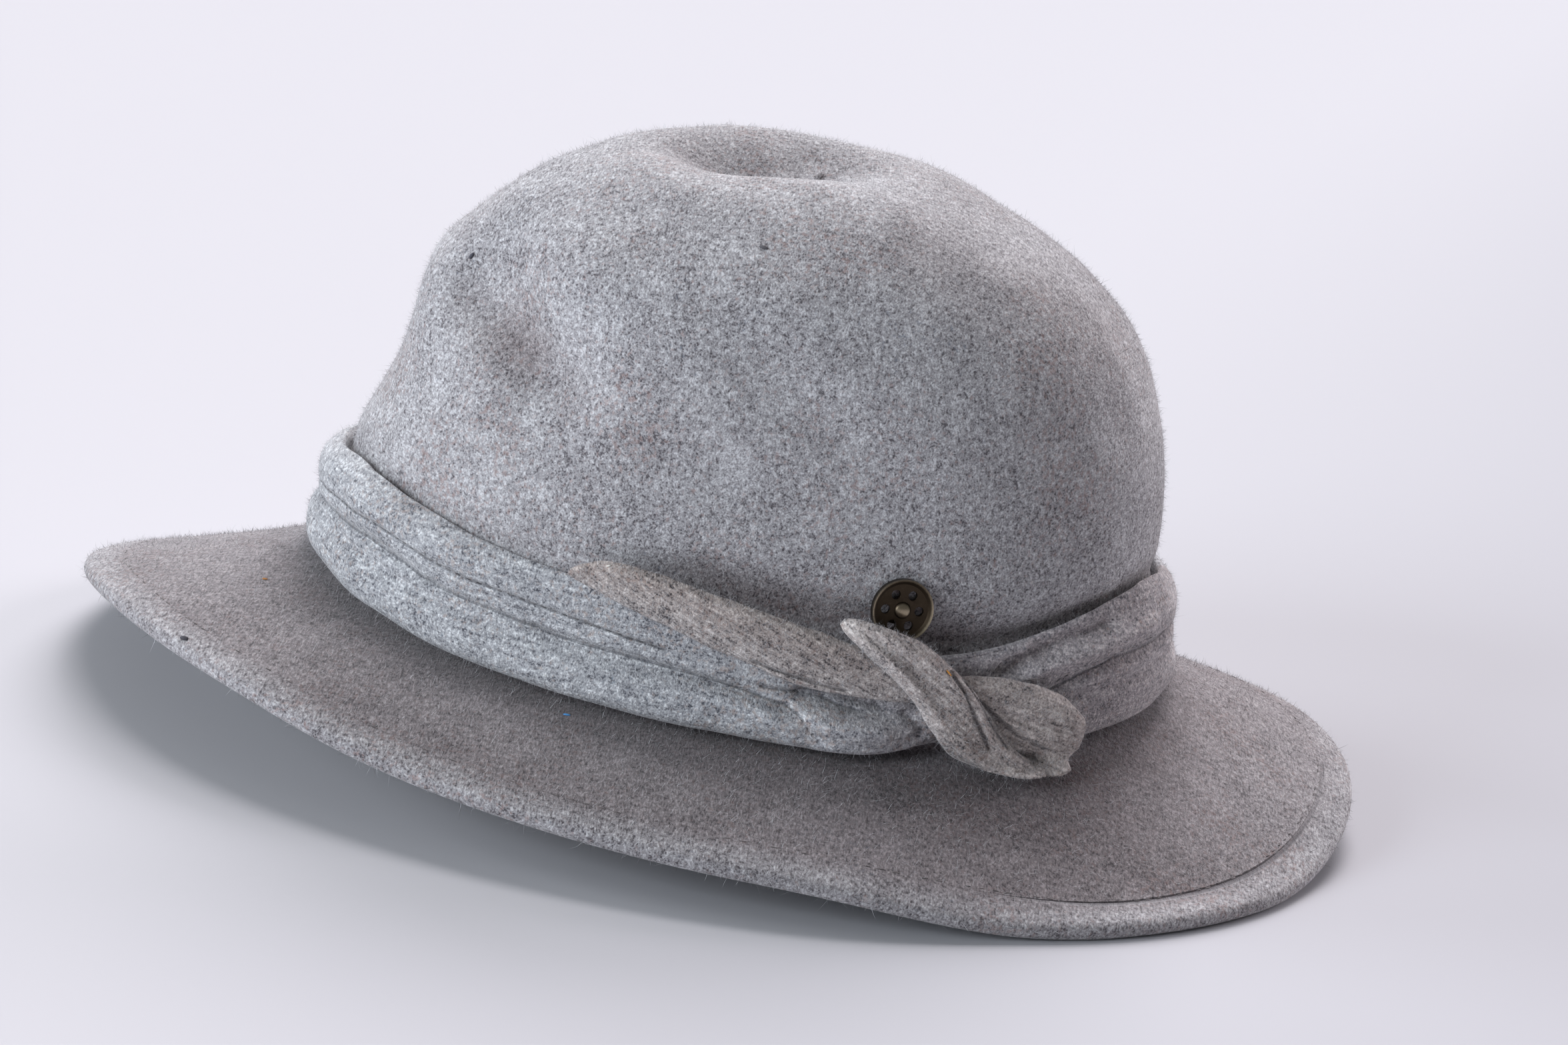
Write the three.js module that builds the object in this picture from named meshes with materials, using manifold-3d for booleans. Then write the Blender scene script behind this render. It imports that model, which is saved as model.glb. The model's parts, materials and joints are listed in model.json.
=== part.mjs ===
// A soft felt fedora with a self-felt band, knotted at the wearer's left and trimmed with a metal stud.
// Millimetres, +Z up, the wearer's front toward -Y and the wearer's left toward +X.
// The hat stands on its brim, whose lowest stretches are pressed flat by the floor.
import * as THREE from 'three';
import { mergeVertices } from 'three/addons/utils/BufferGeometryUtils.js';
import Module from 'manifold-3d';

const wasm = await Module();
wasm.setup();

// ---- Driving sizes ---------------------------------------------------------------------------

const FELT = 2.0; // one layer of felt
const HEM_THICK = 4.4; // the brim's edge is turned under: two layers and a little air
const HEM_WIDE = 9;
const GAP = 0.35; // air between pieces that touch
const BASE_LIFT = 27; // the middle of the crown's base above the floor
const LEAN = 2.2; // degrees that the standing hat leans toward the wearer's left
const FLOOR_BLEND = 1.2; // over this height the brim eases into lying flat
const FLAT_SNAP = 0.4; // felt this close to the floor lies on it

const COLUMNS = 64; // steps around the hat
const CROWN_RINGS = 19;
const BRIM_SHARES = [0.15, 0.32, 0.5, 0.67]; // rings of the brim between the crown and the hem
const HEM_ARC = [45, 90, 135]; // the hem's round edge, in degrees from its upper face
const HEM_STEP = 1; // over this distance the felt steps up to the hem
const ROOT_ROUND = 1.5; // radius where the brim leaves the crown

// The crown in rings, from the brim's root to the middle of the top: how far each ring reaches to
// the front, the back and the sides, and how high it is there and at the wearer's left and right.
const CROWN = [
  { level: 0, front: 101, frontUp: 4, back: 98, backUp: 2, side: 84.5, leftUp: 0, rightUp: -4 },
  { level: 1, front: 100.5, frontUp: 17, back: 96.5, backUp: 16, side: 84, leftUp: 15, rightUp: 12 },
  { level: 2, front: 99.6, frontUp: 31, back: 94.6, backUp: 31, side: 83, leftUp: 30, rightUp: 28 },
  { level: 3, front: 94.4, frontUp: 44, back: 94.2, backUp: 45, side: 81.5, leftUp: 45, rightUp: 44 },
  { level: 4, front: 90, frontUp: 58, back: 92, backUp: 59, side: 79.5, leftUp: 60, rightUp: 60 },
  { level: 5, front: 88.9, frontUp: 71, back: 87.6, backUp: 72, side: 76.5, leftUp: 74, rightUp: 74 },
  { level: 6, front: 85.8, frontUp: 80, back: 81.5, backUp: 83, side: 71.5, leftUp: 86, rightUp: 86 },
  { level: 7, front: 78.5, frontUp: 88, back: 73, backUp: 92, side: 63.5, leftUp: 96, rightUp: 96 },
  { level: 8, front: 67.5, frontUp: 98, back: 62, backUp: 99.5, side: 53.5, leftUp: 104, rightUp: 104 },
  { level: 9, front: 53, frontUp: 108, back: 47, backUp: 106, side: 42, leftUp: 110, rightUp: 110 },
  { level: 10, front: 37, frontUp: 114.5, back: 31, backUp: 111.5, side: 29, leftUp: 113.5, rightUp: 113.5 },
  { level: 11, front: 20, frontUp: 117, back: 15, backUp: 114.5, side: 15, leftUp: 115.5, rightUp: 115.5 },
  { level: 12, front: 9, frontUp: 117.8, back: 4, backUp: 116.2, side: 6.5, leftUp: 117, rightUp: 117 },
];

// Creases pressed into the crown: each runs from one point to another and fades over its width.
const CREASES = [
  { fromX: 3, fromY: -18, fromZ: 115, toX: 0, toY: -5, toZ: 114, wide: 15, deep: 14 }, // middle
  { fromX: 37, fromY: -76, fromZ: 86, toX: 61, toY: -50, toZ: 70, wide: 11.5, deep: 8.5 }, // left
  { fromX: -37, fromY: -76, fromZ: 86, toX: -61, toY: -50, toZ: 70, wide: 11.5, deep: 8.5 }, // right
  { fromX: 80, fromY: 4, fromZ: 80, toX: 84, toY: 26, toZ: 54, wide: 14, deep: 1.6 }, // left wall
  { fromX: -78, fromY: 20, fromZ: 82, toX: -84, toY: 0, toZ: 56, wide: 14, deep: 1.6 }, // right wall
];

// The brim around the hat, turn in degrees from the front toward the wearer's left: how far its
// edge reaches from the crown and drops below the crown's base, and how it falls. Above 1 it leaves
// the crown flatter than it ends, below 1 steeper.
const BRIM = [
  { turn: -165, reach: 54, drop: 13, curve: 1 },
  { turn: -150, reach: 53, drop: 17, curve: 1 },
  { turn: -135, reach: 52, drop: 24, curve: 1 },
  { turn: -120, reach: 51, drop: 31, curve: 1 },
  { turn: -90, reach: 51, drop: 32.5, curve: 0.95 },
  { turn: -60, reach: 51, drop: 32.5, curve: 0.85 },
  { turn: -45, reach: 51, drop: 30, curve: 0.8 },
  { turn: -30, reach: 53, drop: 26, curve: 0.75 },
  { turn: -15, reach: 56, drop: 18.5, curve: 0.8 },
  { turn: 0, reach: 58, drop: 10.5, curve: 1.05 },
  { turn: 10, reach: 58, drop: 5, curve: 1.2 },
  { turn: 20, reach: 57, drop: 0.5, curve: 1.25 },
  { turn: 30, reach: 56.5, drop: -1.5, curve: 1.25 },
  { turn: 45, reach: 55, drop: -0.5, curve: 1.25 },
  { turn: 60, reach: 54, drop: 4, curve: 1.25 },
  { turn: 90, reach: 53.5, drop: 9.3, curve: 1.25 },
  { turn: 100, reach: 53.5, drop: 11, curve: 1.25 },
  { turn: 120, reach: 53.5, drop: 19.8, curve: 1.25 },
  { turn: 132, reach: 54, drop: 24, curve: 1.25 },
  { turn: 150, reach: 54, drop: 24, curve: 1.2 },
  { turn: 165, reach: 54.5, drop: 18.5, curve: 1.1 },
  { turn: 180, reach: 55, drop: 13.5, curve: 1 },
];

// The band around the crown: the heights of its lower and upper edge, how far its lower and upper
// fold stand off the crown, and how full its upper rim is.
const BAND = [
  { turn: -150, bottom: 2.4, top: 29, lower: 6, upper: 5.6, rim: 1 },
  { turn: -90, bottom: -2.4, top: 26, lower: 6, upper: 5.6, rim: 1 },
  { turn: -45, bottom: 1.6, top: 25, lower: 6.4, upper: 5.8, rim: 1 },
  { turn: -20, bottom: 4.6, top: 26, lower: 6.6, upper: 5.8, rim: 1 },
  { turn: 0, bottom: 5.6, top: 28.5, lower: 6.8, upper: 6, rim: 1 },
  { turn: 20, bottom: 5, top: 32.8, lower: 6.8, upper: 6, rim: 1 },
  { turn: 35, bottom: 4, top: 32.5, lower: 6.8, upper: 6, rim: 1 },
  { turn: 52, bottom: 2.6, top: 30, lower: 6.8, upper: 5.6, rim: 1 },
  { turn: 65, bottom: 1.8, top: 28.5, lower: 6.8, upper: 3.6, rim: 1 },
  { turn: 90, bottom: 0.8, top: 27, lower: 7.2, upper: 3.2, rim: 1 },
  { turn: 102, bottom: 0.6, top: 24.8, lower: 8.6, upper: 3, rim: 1 },
  { turn: 109, bottom: 0.6, top: 23.4, lower: 8.2, upper: 3, rim: 1 },
  { turn: 114, bottom: 1.8, top: 23, lower: 4.8, upper: 3, rim: 1 },
  { turn: 120, bottom: 4, top: 23, lower: 3.2, upper: 3, rim: 1 },
  { turn: 126, bottom: 4, top: 25, lower: 3, upper: 3.2, rim: 0.8 },
  { turn: 138, bottom: 2.2, top: 29.4, lower: 5.2, upper: 5.2, rim: 0.6 },
  { turn: 150, bottom: 2.6, top: 33.2, lower: 6.4, upper: 6.4, rim: 0.6 },
  { turn: 162, bottom: 3, top: 35, lower: 6.6, upper: 6.4, rim: 0.8 },
  { turn: 180, bottom: 3.4, top: 30, lower: 6.6, upper: 5.8, rim: 0.9 },
];

// The band's outer face from its lower to its upper edge, in shares of the two folds: the lower
// fold, a tuck, a narrow layer, a stitched line and the upper fold.
const BAND_FACE = [
  { level: 0.0, lower: 0.3, upper: 0.0 },
  { level: 0.03, lower: 0.7, upper: 0.0 },
  { level: 0.11, lower: 0.95, upper: 0.0 },
  { level: 0.22, lower: 1.0, upper: 0.0 },
  { level: 0.33, lower: 0.92, upper: 0.0 },
  { level: 0.4, lower: 0.35, upper: 0.3 },
  { level: 0.44, lower: 0.0, upper: 0.88 },
  { level: 0.52, lower: 0.0, upper: 0.94 },
  { level: 0.58, lower: 0.0, upper: 0.82 },
  { level: 0.63, lower: 0.0, upper: 0.94 },
  { level: 0.76, lower: 0.0, upper: 1.0 },
  { level: 0.88, lower: 0.0, upper: 0.9 },
  { level: 0.96, lower: 0.0, upper: 0.62 },
  { level: 1.0, lower: 0.0, upper: 0.26 },
];
const BAND_RIM_LEVEL = 0.8; // the upper rim starts here
const BAND_BACK_LEVELS = [0.98, 0.66, 0.33, 0.02]; // its inner face

// The loose layers of the knot, each in rows along its length. One long edge runs through the
// turns and heights of its lowTurn and lowUp columns, the other through highTurn and highUp. The
// layer lies this far off the crown, and is this thick.
const LONG_TAIL = [
  { lowTurn: 109, lowUp: 12.5, highTurn: 109, highUp: 25.0, off: 4.2, thick: 3.2 },
  { lowTurn: 102, lowUp: 12.8, highTurn: 102, highUp: 27.2, off: 4.2, thick: 3.6 },
  { lowTurn: 98, lowUp: 14.2, highTurn: 98, highUp: 28.6, off: 4.2, thick: 3.6 },
  { lowTurn: 94, lowUp: 16.0, highTurn: 94, highUp: 30.0, off: 4.2, thick: 3.6 },
  { lowTurn: 90, lowUp: 18.0, highTurn: 90, highUp: 31.4, off: 4.3, thick: 3.6 },
  { lowTurn: 86, lowUp: 20.4, highTurn: 86, highUp: 32.7, off: 4.4, thick: 3.5 },
  { lowTurn: 82, lowUp: 23.0, highTurn: 82, highUp: 33.9, off: 4.5, thick: 3.4 },
  { lowTurn: 78, lowUp: 25.8, highTurn: 78, highUp: 34.9, off: 4.6, thick: 3.2 },
  { lowTurn: 74, lowUp: 28.8, highTurn: 74, highUp: 35.7, off: 4.6, thick: 3.0 },
  { lowTurn: 70.5, lowUp: 31.5, highTurn: 70, highUp: 36.0, off: 4.6, thick: 2.6 },
  { lowTurn: 68.4, lowUp: 33.6, highTurn: 68, highUp: 35.6, off: 4.6, thick: 1.8 },
];
const KNOT_WRAP = [
  { lowTurn: 102, lowUp: 29.6, highTurn: 103.5, highUp: 31.4, off: 5.4, thick: 2.0 },
  { lowTurn: 103, lowUp: 28.0, highTurn: 106, highUp: 31.6, off: 7.2, thick: 3.4 },
  { lowTurn: 104.7, lowUp: 25.6, highTurn: 109, highUp: 30.4, off: 8.3, thick: 4.2 },
  { lowTurn: 106.8, lowUp: 22.4, highTurn: 111.8, highUp: 28.2, off: 8.3, thick: 4.5 },
  { lowTurn: 109.5, lowUp: 18.5, highTurn: 114.6, highUp: 25.0, off: 8.3, thick: 4.6 },
  { lowTurn: 112, lowUp: 14.0, highTurn: 117.4, highUp: 21.1, off: 8.3, thick: 4.6 },
  { lowTurn: 114.2, lowUp: 9.4, highTurn: 120, highUp: 16.8, off: 8.4, thick: 4.6 },
  { lowTurn: 116, lowUp: 5.7, highTurn: 122, highUp: 12.5, off: 8.7, thick: 4.5 },
  { lowTurn: 118.2, lowUp: 2.6, highTurn: 124, highUp: 8.1, off: 9.2, thick: 4.2 },
  { lowTurn: 121, lowUp: 0.6, highTurn: 125.5, highUp: 4.4, off: 9.4, thick: 3.6 },
  { lowTurn: 124, lowUp: -0.6, highTurn: 126.5, highUp: 1.6, off: 9.4, thick: 2.6 },
];
const SHORT_TAIL = [
  { lowTurn: 113, lowUp: 13.0, highTurn: 113, highUp: 18.5, off: 4.4, thick: 2.8 },
  { lowTurn: 116.2, lowUp: 9.6, highTurn: 116.2, highUp: 19.4, off: 4.4, thick: 3.2 },
  { lowTurn: 120, lowUp: 6.0, highTurn: 120, highUp: 20.0, off: 4.4, thick: 3.4 },
  { lowTurn: 123.6, lowUp: 3.2, highTurn: 123.8, highUp: 19.8, off: 4.6, thick: 3.8 },
  { lowTurn: 127.4, lowUp: 0.5, highTurn: 127.8, highUp: 18.8, off: 5.8, thick: 4.6 },
  { lowTurn: 130.8, lowUp: -0.7, highTurn: 131.6, highUp: 17.0, off: 6.5, thick: 5.0 },
  { lowTurn: 133.8, lowUp: -0.9, highTurn: 134.8, highUp: 14.2, off: 7.1, thick: 4.8 },
  { lowTurn: 136.0, lowUp: -0.5, highTurn: 136.8, highUp: 11.2, off: 7.3, thick: 3.9 },
];

// How full a layer is from its low to its high edge.
const PLAIN_FACE = [
  { level: 0.0, full: 0.3 },
  { level: 0.08, full: 0.8 },
  { level: 0.25, full: 1.0 },
  { level: 0.5, full: 0.95 },
  { level: 0.75, full: 1.0 },
  { level: 0.92, full: 0.8 },
  { level: 1.0, full: 0.3 },
];
const WRAP_FACE = [
  { level: 0.0, full: 0.3 },
  { level: 0.08, full: 0.8 },
  { level: 0.24, full: 1.0 },
  { level: 0.45, full: 0.92 },
  { level: 0.6, full: 0.84 },
  { level: 0.67, full: 0.62 },
  { level: 0.74, full: 0.86 },
  { level: 0.87, full: 0.94 },
  { level: 0.95, full: 0.74 },
  { level: 1.0, full: 0.3 },
];
const LAYER_BACK_LEVELS = [0.97, 0.66, 0.33, 0.03]; // its inner face

// The metal stud, a disc pinned through the crown above the knot.
const STUD_TURN = 110.8;
const STUD_UP = 32.9;
const STUD_RADIUS = 7;
const STUD_SIDES = 24;
const STUD_PLATE = 1.1; // thickness between its rim and its boss
const STUD_EDGE = 0.4; // chamfer around its back
const STUD_RIM_WIDE = 1.1;
const STUD_RIM_HIGH = 0.8;
const STUD_BOSS_RADIUS = 1.9;
const STUD_BOSS_HIGH = 0.9;
const STUD_HOLES = 6;
const STUD_HOLE_RADIUS = 1.05;
const STUD_HOLE_RING = 3.9;
const PIN_RADIUS = 1.0;
const PIN_HOLE_RADIUS = 1.4;
const PIN_DRILL_LENGTH = 8;
const WASHER_RADIUS = 4;
const WASHER_THICK = 0.7;
const ROUND_SIDES = 10;

// ---- Tables and curves -----------------------------------------------------------------------

const FULL_TURN = 360;
const LEVEL_STEP = 1e-4; // how closely a height is found on the crown
const WALL_LEVELS = CROWN.length / 2; // the crown's wall is below this level and its top above it
const radians = (degrees) => (degrees * Math.PI) / 180;
const clamp = (value, low, high) => Math.min(high, Math.max(low, value));
const mix = (from, to, share) => from + (to - from) * share;

// One column of a table at a place between its rows, on a smooth curve through the rows.
function readTable(table, key, at, column, period = 0) {
  const count = table.length;
  const index = (i) => (period ? (i + count) % count : clamp(i, 0, count - 1));
  const place = (i) => table[index(i)][key] + (period ? period * Math.floor(i / count) : 0);
  const value = (i) => table[index(i)][column];
  const slope = (i) => (value(i + 1) - value(i - 1)) / (place(i + 1) - place(i - 1));
  const last = period ? count - 1 : count - 2;
  let i = 0;
  while (i < last && place(i + 1) <= at) i += 1;
  const span = place(i + 1) - place(i);
  const t = clamp((at - place(i)) / span, 0, 1);
  const level = value(i) * (1 + 2 * t) * (1 - t) ** 2 + value(i + 1) * t * t * (3 - 2 * t);
  return level + span * t * (1 - t) * (slope(i) * (1 - t) - slope(i + 1) * t);
}

// One column of a table that runs around the hat, at a turn in degrees.
function around(table, turn, column) {
  const first = table[0].turn;
  const wrapped = first + ((((turn - first) % FULL_TURN) + FULL_TURN) % FULL_TURN);
  return readTable(table, 'turn', wrapped, column, FULL_TURN);
}

// From the hat's own axes, whose zero is the middle of the crown's base, to the floor it stands on.
const STAND = new THREE.Matrix4().makeRotationY(radians(LEAN)).setPosition(0, 0, BASE_LIFT);

// Never below the floor, with an even bend from free to lying.
function easeToFloor(height, floor) {
  const above = height - floor;
  if (above <= -FLOOR_BLEND) return floor;
  if (above >= FLOOR_BLEND) return height;
  return floor + (above + FLOOR_BLEND) ** 2 / (4 * FLOOR_BLEND);
}

// ---- Closed skins from rings of points -------------------------------------------------------

// The way out of a grid of points at one of its crossings.
function gridNormal(rings, i, j) {
  const size = rings[0].length;
  const before = rings[Math.max(i - 1, 0)][j];
  const along = rings[Math.min(i + 1, rings.length - 1)][j].clone().sub(before);
  const across = rings[i][(j + 1) % size].clone().sub(rings[i][(j + size - 1) % size]);
  return along.cross(across).normalize();
}

// The two triangles between four points of neighbouring rings, along the shorter diagonal.
function quad(points, a, b, c, d) {
  const across = points[a].distanceTo(points[c]) <= points[b].distanceTo(points[d]);
  return across ? [a, b, c, a, c, d] : [a, b, d, b, c, d];
}

function signedVolume(points, faces) {
  let sum = 0;
  const cross = new THREE.Vector3();
  for (let i = 0; i < faces.length; i += 3) {
    cross.crossVectors(points[faces[i + 1]], points[faces[i + 2]]);
    sum += points[faces[i]].dot(cross);
  }
  return sum / 6;
}

// A closed mesh over rings of points. Its ends are closed by a fan each, unless it is a loop, whose
// last ring meets the first.
function skin(rings, isLoop = false) {
  const size = rings[0].length;
  const points = rings.flat();
  const faces = [];
  const steps = isLoop ? rings.length : rings.length - 1;
  for (let i = 0; i < steps; i += 1) {
    const next = ((i + 1) % rings.length) * size;
    for (let j = 0; j < size; j += 1) {
      const beside = (j + 1) % size;
      faces.push(...quad(points, i * size + j, next + j, next + beside, i * size + beside));
    }
  }
  if (!isLoop) {
    const lastRow = (rings.length - 1) * size;
    for (const row of [0, lastRow]) {
      const middle = new THREE.Vector3();
      for (let j = 0; j < size; j += 1) middle.addScaledVector(points[row + j], 1 / size);
      const tip = points.push(middle) - 1;
      for (let j = 0; j < size; j += 1) {
        const ends = [row + j, row + ((j + 1) % size)];
        faces.push(...(row === 0 ? ends : ends.reverse()), tip);
      }
    }
  }
  if (signedVolume(points, faces) < 0) faces.reverse();
  const geometry = new THREE.BufferGeometry().setFromPoints(points);
  geometry.setIndex(faces);
  return geometry;
}

// ---- Solids that are cut ---------------------------------------------------------------------

function toSolid(geometry) {
  const bare = geometry.clone();
  bare.deleteAttribute('normal');
  bare.deleteAttribute('uv');
  const merged = mergeVertices(bare);
  const vertProperties = new Float32Array(merged.getAttribute('position').array);
  const triVerts = new Uint32Array(merged.getIndex().array);
  return new wasm.Manifold(new wasm.Mesh({ numProp: 3, vertProperties, triVerts }));
}

function toGeometry(solid) {
  const mesh = solid.getMesh();
  const geometry = new THREE.BufferGeometry();
  geometry.setAttribute('position', new THREE.BufferAttribute(mesh.vertProperties, 3));
  geometry.setIndex(new THREE.BufferAttribute(mesh.triVerts, 1));
  return geometry;
}

// ---- The felt body: crown and brim in one ----------------------------------------------------

// A point of the crown's outer face before it is creased.
function crownPoint(level, turn) {
  const column = (name) => readTable(CROWN, 'level', level, name);
  const sine = Math.sin(radians(turn));
  const cosine = Math.cos(radians(turn));
  const end = cosine > 0 ? 'front' : 'back';
  const side = sine > 0 ? 'left' : 'right';
  const up = mix(column(`${side}Up`), column(`${end}Up`), cosine * cosine);
  return new THREE.Vector3(column('side') * sine, -column(end) * cosine, up);
}

// How deep the creases press the crown in at a point.
function creaseDepth(point) {
  const nearest = new THREE.Vector3();
  let depth = 0;
  for (const crease of CREASES) {
    const from = new THREE.Vector3(crease.fromX, crease.fromY, crease.fromZ);
    const to = new THREE.Vector3(crease.toX, crease.toY, crease.toZ);
    new THREE.Line3(from, to).closestPointToPoint(point, true, nearest);
    depth += crease.deep * Math.exp(-((nearest.distanceTo(point) / crease.wide) ** 2));
  }
  return depth;
}

// The level way out of the hat at a turn, square to the crown's oval.
function outward(turn) {
  const sine = Math.sin(radians(turn));
  const cosine = Math.cos(radians(turn));
  const end = cosine > 0 ? CROWN[0].front : CROWN[0].back;
  return new THREE.Vector3(sine * end, -cosine * CROWN[0].side, 0).normalize();
}

// A point of the standing brim's upper face, at a distance from the crown.
function brimPoint(turn, reach) {
  const point = crownPoint(0, turn);
  const share = reach / around(BRIM, turn, 'reach');
  point.z -= (around(BRIM, turn, 'drop') + point.z) * share ** around(BRIM, turn, 'curve');
  point.addScaledVector(outward(turn), reach).applyMatrix4(STAND);
  point.z = easeToFloor(point.z, HEM_THICK);
  return point;
}

// The outer face of the standing felt from the middle of the crown to the start of the brim's round
// edge, as rings of points, each with the felt's thickness under it.
function feltRings(turns) {
  const crown = [];
  const rootLevel = ROOT_ROUND / (CROWN[1].leftUp - CROWN[0].leftUp);
  const topLevel = CROWN.length - 1;
  for (let i = 0; i <= CROWN_RINGS; i += 1) {
    const level = mix(topLevel, rootLevel, i / CROWN_RINGS);
    crown.push(turns.map((turn) => crownPoint(level, turn)));
  }
  const creased = crown.map((ring, i) =>
    ring.map((point, j) => {
      const depth = creaseDepth(point);
      const pressed = point.clone().addScaledVector(gridNormal(crown, i, j), -depth);
      return pressed.applyMatrix4(STAND);
    }),
  );
  const rings = creased.map((points) => ({ points, thick: FELT }));
  const round = ROOT_ROUND * (1 - Math.SQRT1_2);
  const corner = turns.map((turn) => {
    const point = crownPoint(0, turn).addScaledVector(outward(turn), round);
    point.z += round;
    return point.applyMatrix4(STAND);
  });
  rings.push({ points: corner, thick: FELT });
  const brimRing = (reachAt, thick) => {
    rings.push({ points: turns.map((turn) => brimPoint(turn, reachAt(turn))), thick });
  };
  const width = (turn) => around(BRIM, turn, 'reach');
  brimRing(() => ROOT_ROUND, FELT);
  for (const share of BRIM_SHARES) brimRing((turn) => width(turn) * share, FELT);
  brimRing((turn) => width(turn) - HEM_WIDE, FELT);
  brimRing((turn) => width(turn) - HEM_WIDE + HEM_STEP, HEM_THICK);
  brimRing((turn) => width(turn) - HEM_THICK / 2, HEM_THICK);
  return rings;
}

// Felt that nearly touches the floor lies on it.
const onFloor = (point) => {
  if (point.z < FLAT_SNAP) point.z = 0;
  return point;
};

// The whole felt skin: outer face, round edge and inner face.
function feltBody() {
  const turns = Array.from({ length: COLUMNS }, (_, j) => (j * FULL_TURN) / COLUMNS);
  const outer = feltRings(turns);
  const rings = outer.map((ring) => ring.points);
  const inner = outer.map((ring, i) =>
    ring.points.map((point, j) =>
      onFloor(point.clone().addScaledVector(gridNormal(rings, i, j), -ring.thick)),
    ),
  );
  const edge = rings.length - 1;
  const arcs = HEM_ARC.map((angle) =>
    turns.map((turn, j) => {
      const middle = rings[edge][j].clone().add(inner[edge][j]).multiplyScalar(0.5);
      const up = rings[edge][j].clone().sub(middle);
      const along = rings[edge][j].clone().sub(rings[edge - 1][j]).setLength(HEM_THICK / 2);
      middle.addScaledVector(up, Math.cos(radians(angle)));
      return onFloor(middle.addScaledVector(along, Math.sin(radians(angle))));
    }),
  );
  return skin([...rings, ...arcs, ...inner.reverse()]);
}

// ---- Layers that lie on the crown ------------------------------------------------------------

// A point at a height, standing off the crown's creased wall, in the hat's own axes.
function offCrown(turn, height, off) {
  let low = 0;
  let high = WALL_LEVELS;
  while (high - low > LEVEL_STEP) {
    const middle = (low + high) / 2;
    if (crownPoint(middle, turn).z < height) low = middle;
    else high = middle;
  }
  const point = crownPoint(low, turn);
  point.addScaledVector(outward(turn), off - creaseDepth(point));
  point.z = height;
  return point;
}

// The folded strip around the crown, a section at each turn.
function hatBand() {
  const rings = [];
  for (let j = 0; j < COLUMNS; j += 1) {
    const turn = (j * FULL_TURN) / COLUMNS;
    const column = (name) => around(BAND, turn, name);
    const height = (level) => mix(column('bottom'), column('top'), level);
    const face = BAND_FACE.map((row) => {
      const rim = row.level > BAND_RIM_LEVEL ? column('rim') : 1;
      const full = row.lower * column('lower') + row.upper * column('upper') * rim;
      return offCrown(turn, height(row.level), GAP + full);
    });
    const back = BAND_BACK_LEVELS.map((level) => offCrown(turn, height(level), GAP));
    rings.push([...face, ...back]);
  }
  return skin(rings, true);
}

// A solid layer from its rows, with the fullness of its outer face.
function layer(rows, face) {
  const rings = rows.map((row) => {
    const place = (level, off) => {
      const turn = mix(row.lowTurn, row.highTurn, level);
      return offCrown(turn, mix(row.lowUp, row.highUp, level), off);
    };
    const front = face.map(({ level, full }) => place(level, row.off + row.thick * full));
    const back = LAYER_BACK_LEVELS.map((level) => place(level, row.off));
    return [...front, ...back];
  });
  return skin(rings);
}

// ---- The metal stud --------------------------------------------------------------------------

// Moves a solid whose way out is +Z to the stud's place on the crown.
function studPlace() {
  const ahead = offCrown(STUD_TURN + 1, STUD_UP, 0).sub(offCrown(STUD_TURN - 1, STUD_UP, 0));
  const upward = offCrown(STUD_TURN, STUD_UP + 1, 0).sub(offCrown(STUD_TURN, STUD_UP - 1, 0));
  const out = ahead.clone().cross(upward).normalize();
  const side = ahead.normalize();
  const up = out.clone().cross(side);
  const seat = offCrown(STUD_TURN, STUD_UP, 0);
  return new THREE.Matrix4().makeBasis(side, up, out).setPosition(seat);
}

// The stud as one turned solid: washer, pin, plate, raised rim and domed boss.
function studDisc() {
  const face = GAP + STUD_PLATE;
  const washerTop = -FELT - GAP;
  const washerBottom = washerTop - WASHER_THICK;
  const rimTop = face + STUD_RIM_HIGH;
  const rimInside = STUD_RADIUS - STUD_RIM_WIDE;
  const outline = [
    [0, washerBottom],
    [WASHER_RADIUS, washerBottom],
    [WASHER_RADIUS, washerTop],
    [PIN_RADIUS, washerTop],
    [PIN_RADIUS, GAP],
    [STUD_RADIUS - STUD_EDGE, GAP],
    [STUD_RADIUS, GAP + STUD_EDGE],
    [STUD_RADIUS, face],
    [mix(STUD_RADIUS, rimInside, 1 / 3), rimTop],
    [mix(STUD_RADIUS, rimInside, 2 / 3), rimTop],
    [rimInside, face],
    [STUD_BOSS_RADIUS, face],
    [STUD_BOSS_RADIUS * Math.SQRT1_2, face + STUD_BOSS_HIGH * Math.SQRT1_2],
    [0, face + STUD_BOSS_HIGH],
  ].map(([radius, height]) => new THREE.Vector2(radius, height));
  const geometry = new THREE.LatheGeometry(outline, STUD_SIDES);
  return geometry.rotateX(Math.PI / 2);
}

// A round cutter along +Z.
function cutter(radius, length) {
  return toSolid(new THREE.CylinderGeometry(radius, radius, length, ROUND_SIDES).rotateX(Math.PI / 2));
}

function metalStud() {
  let solid = toSolid(studDisc());
  const drill = cutter(STUD_HOLE_RADIUS, STUD_PLATE + STUD_RIM_HIGH);
  for (let i = 0; i < STUD_HOLES; i += 1) {
    const angle = (i * FULL_TURN) / STUD_HOLES;
    const x = STUD_HOLE_RING * Math.cos(radians(angle));
    const y = STUD_HOLE_RING * Math.sin(radians(angle));
    solid = solid.subtract(drill.translate([x, y, GAP + STUD_PLATE / 2]));
  }
  return toGeometry(solid).applyMatrix4(studPlace());
}

// The felt body with the hole for the stud's pin.
function pinnedFelt() {
  const place = STAND.clone().multiply(studPlace());
  const drill = cutter(PIN_HOLE_RADIUS, PIN_DRILL_LENGTH).transform(place.toArray());
  return toGeometry(toSolid(feltBody()).subtract(drill));
}

// ---- Assembly --------------------------------------------------------------------------------

const FELT_GREY = 0x8b8785;
const BAND_GREY = 0x969493;
const BRONZE = 0x5b5146;

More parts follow.
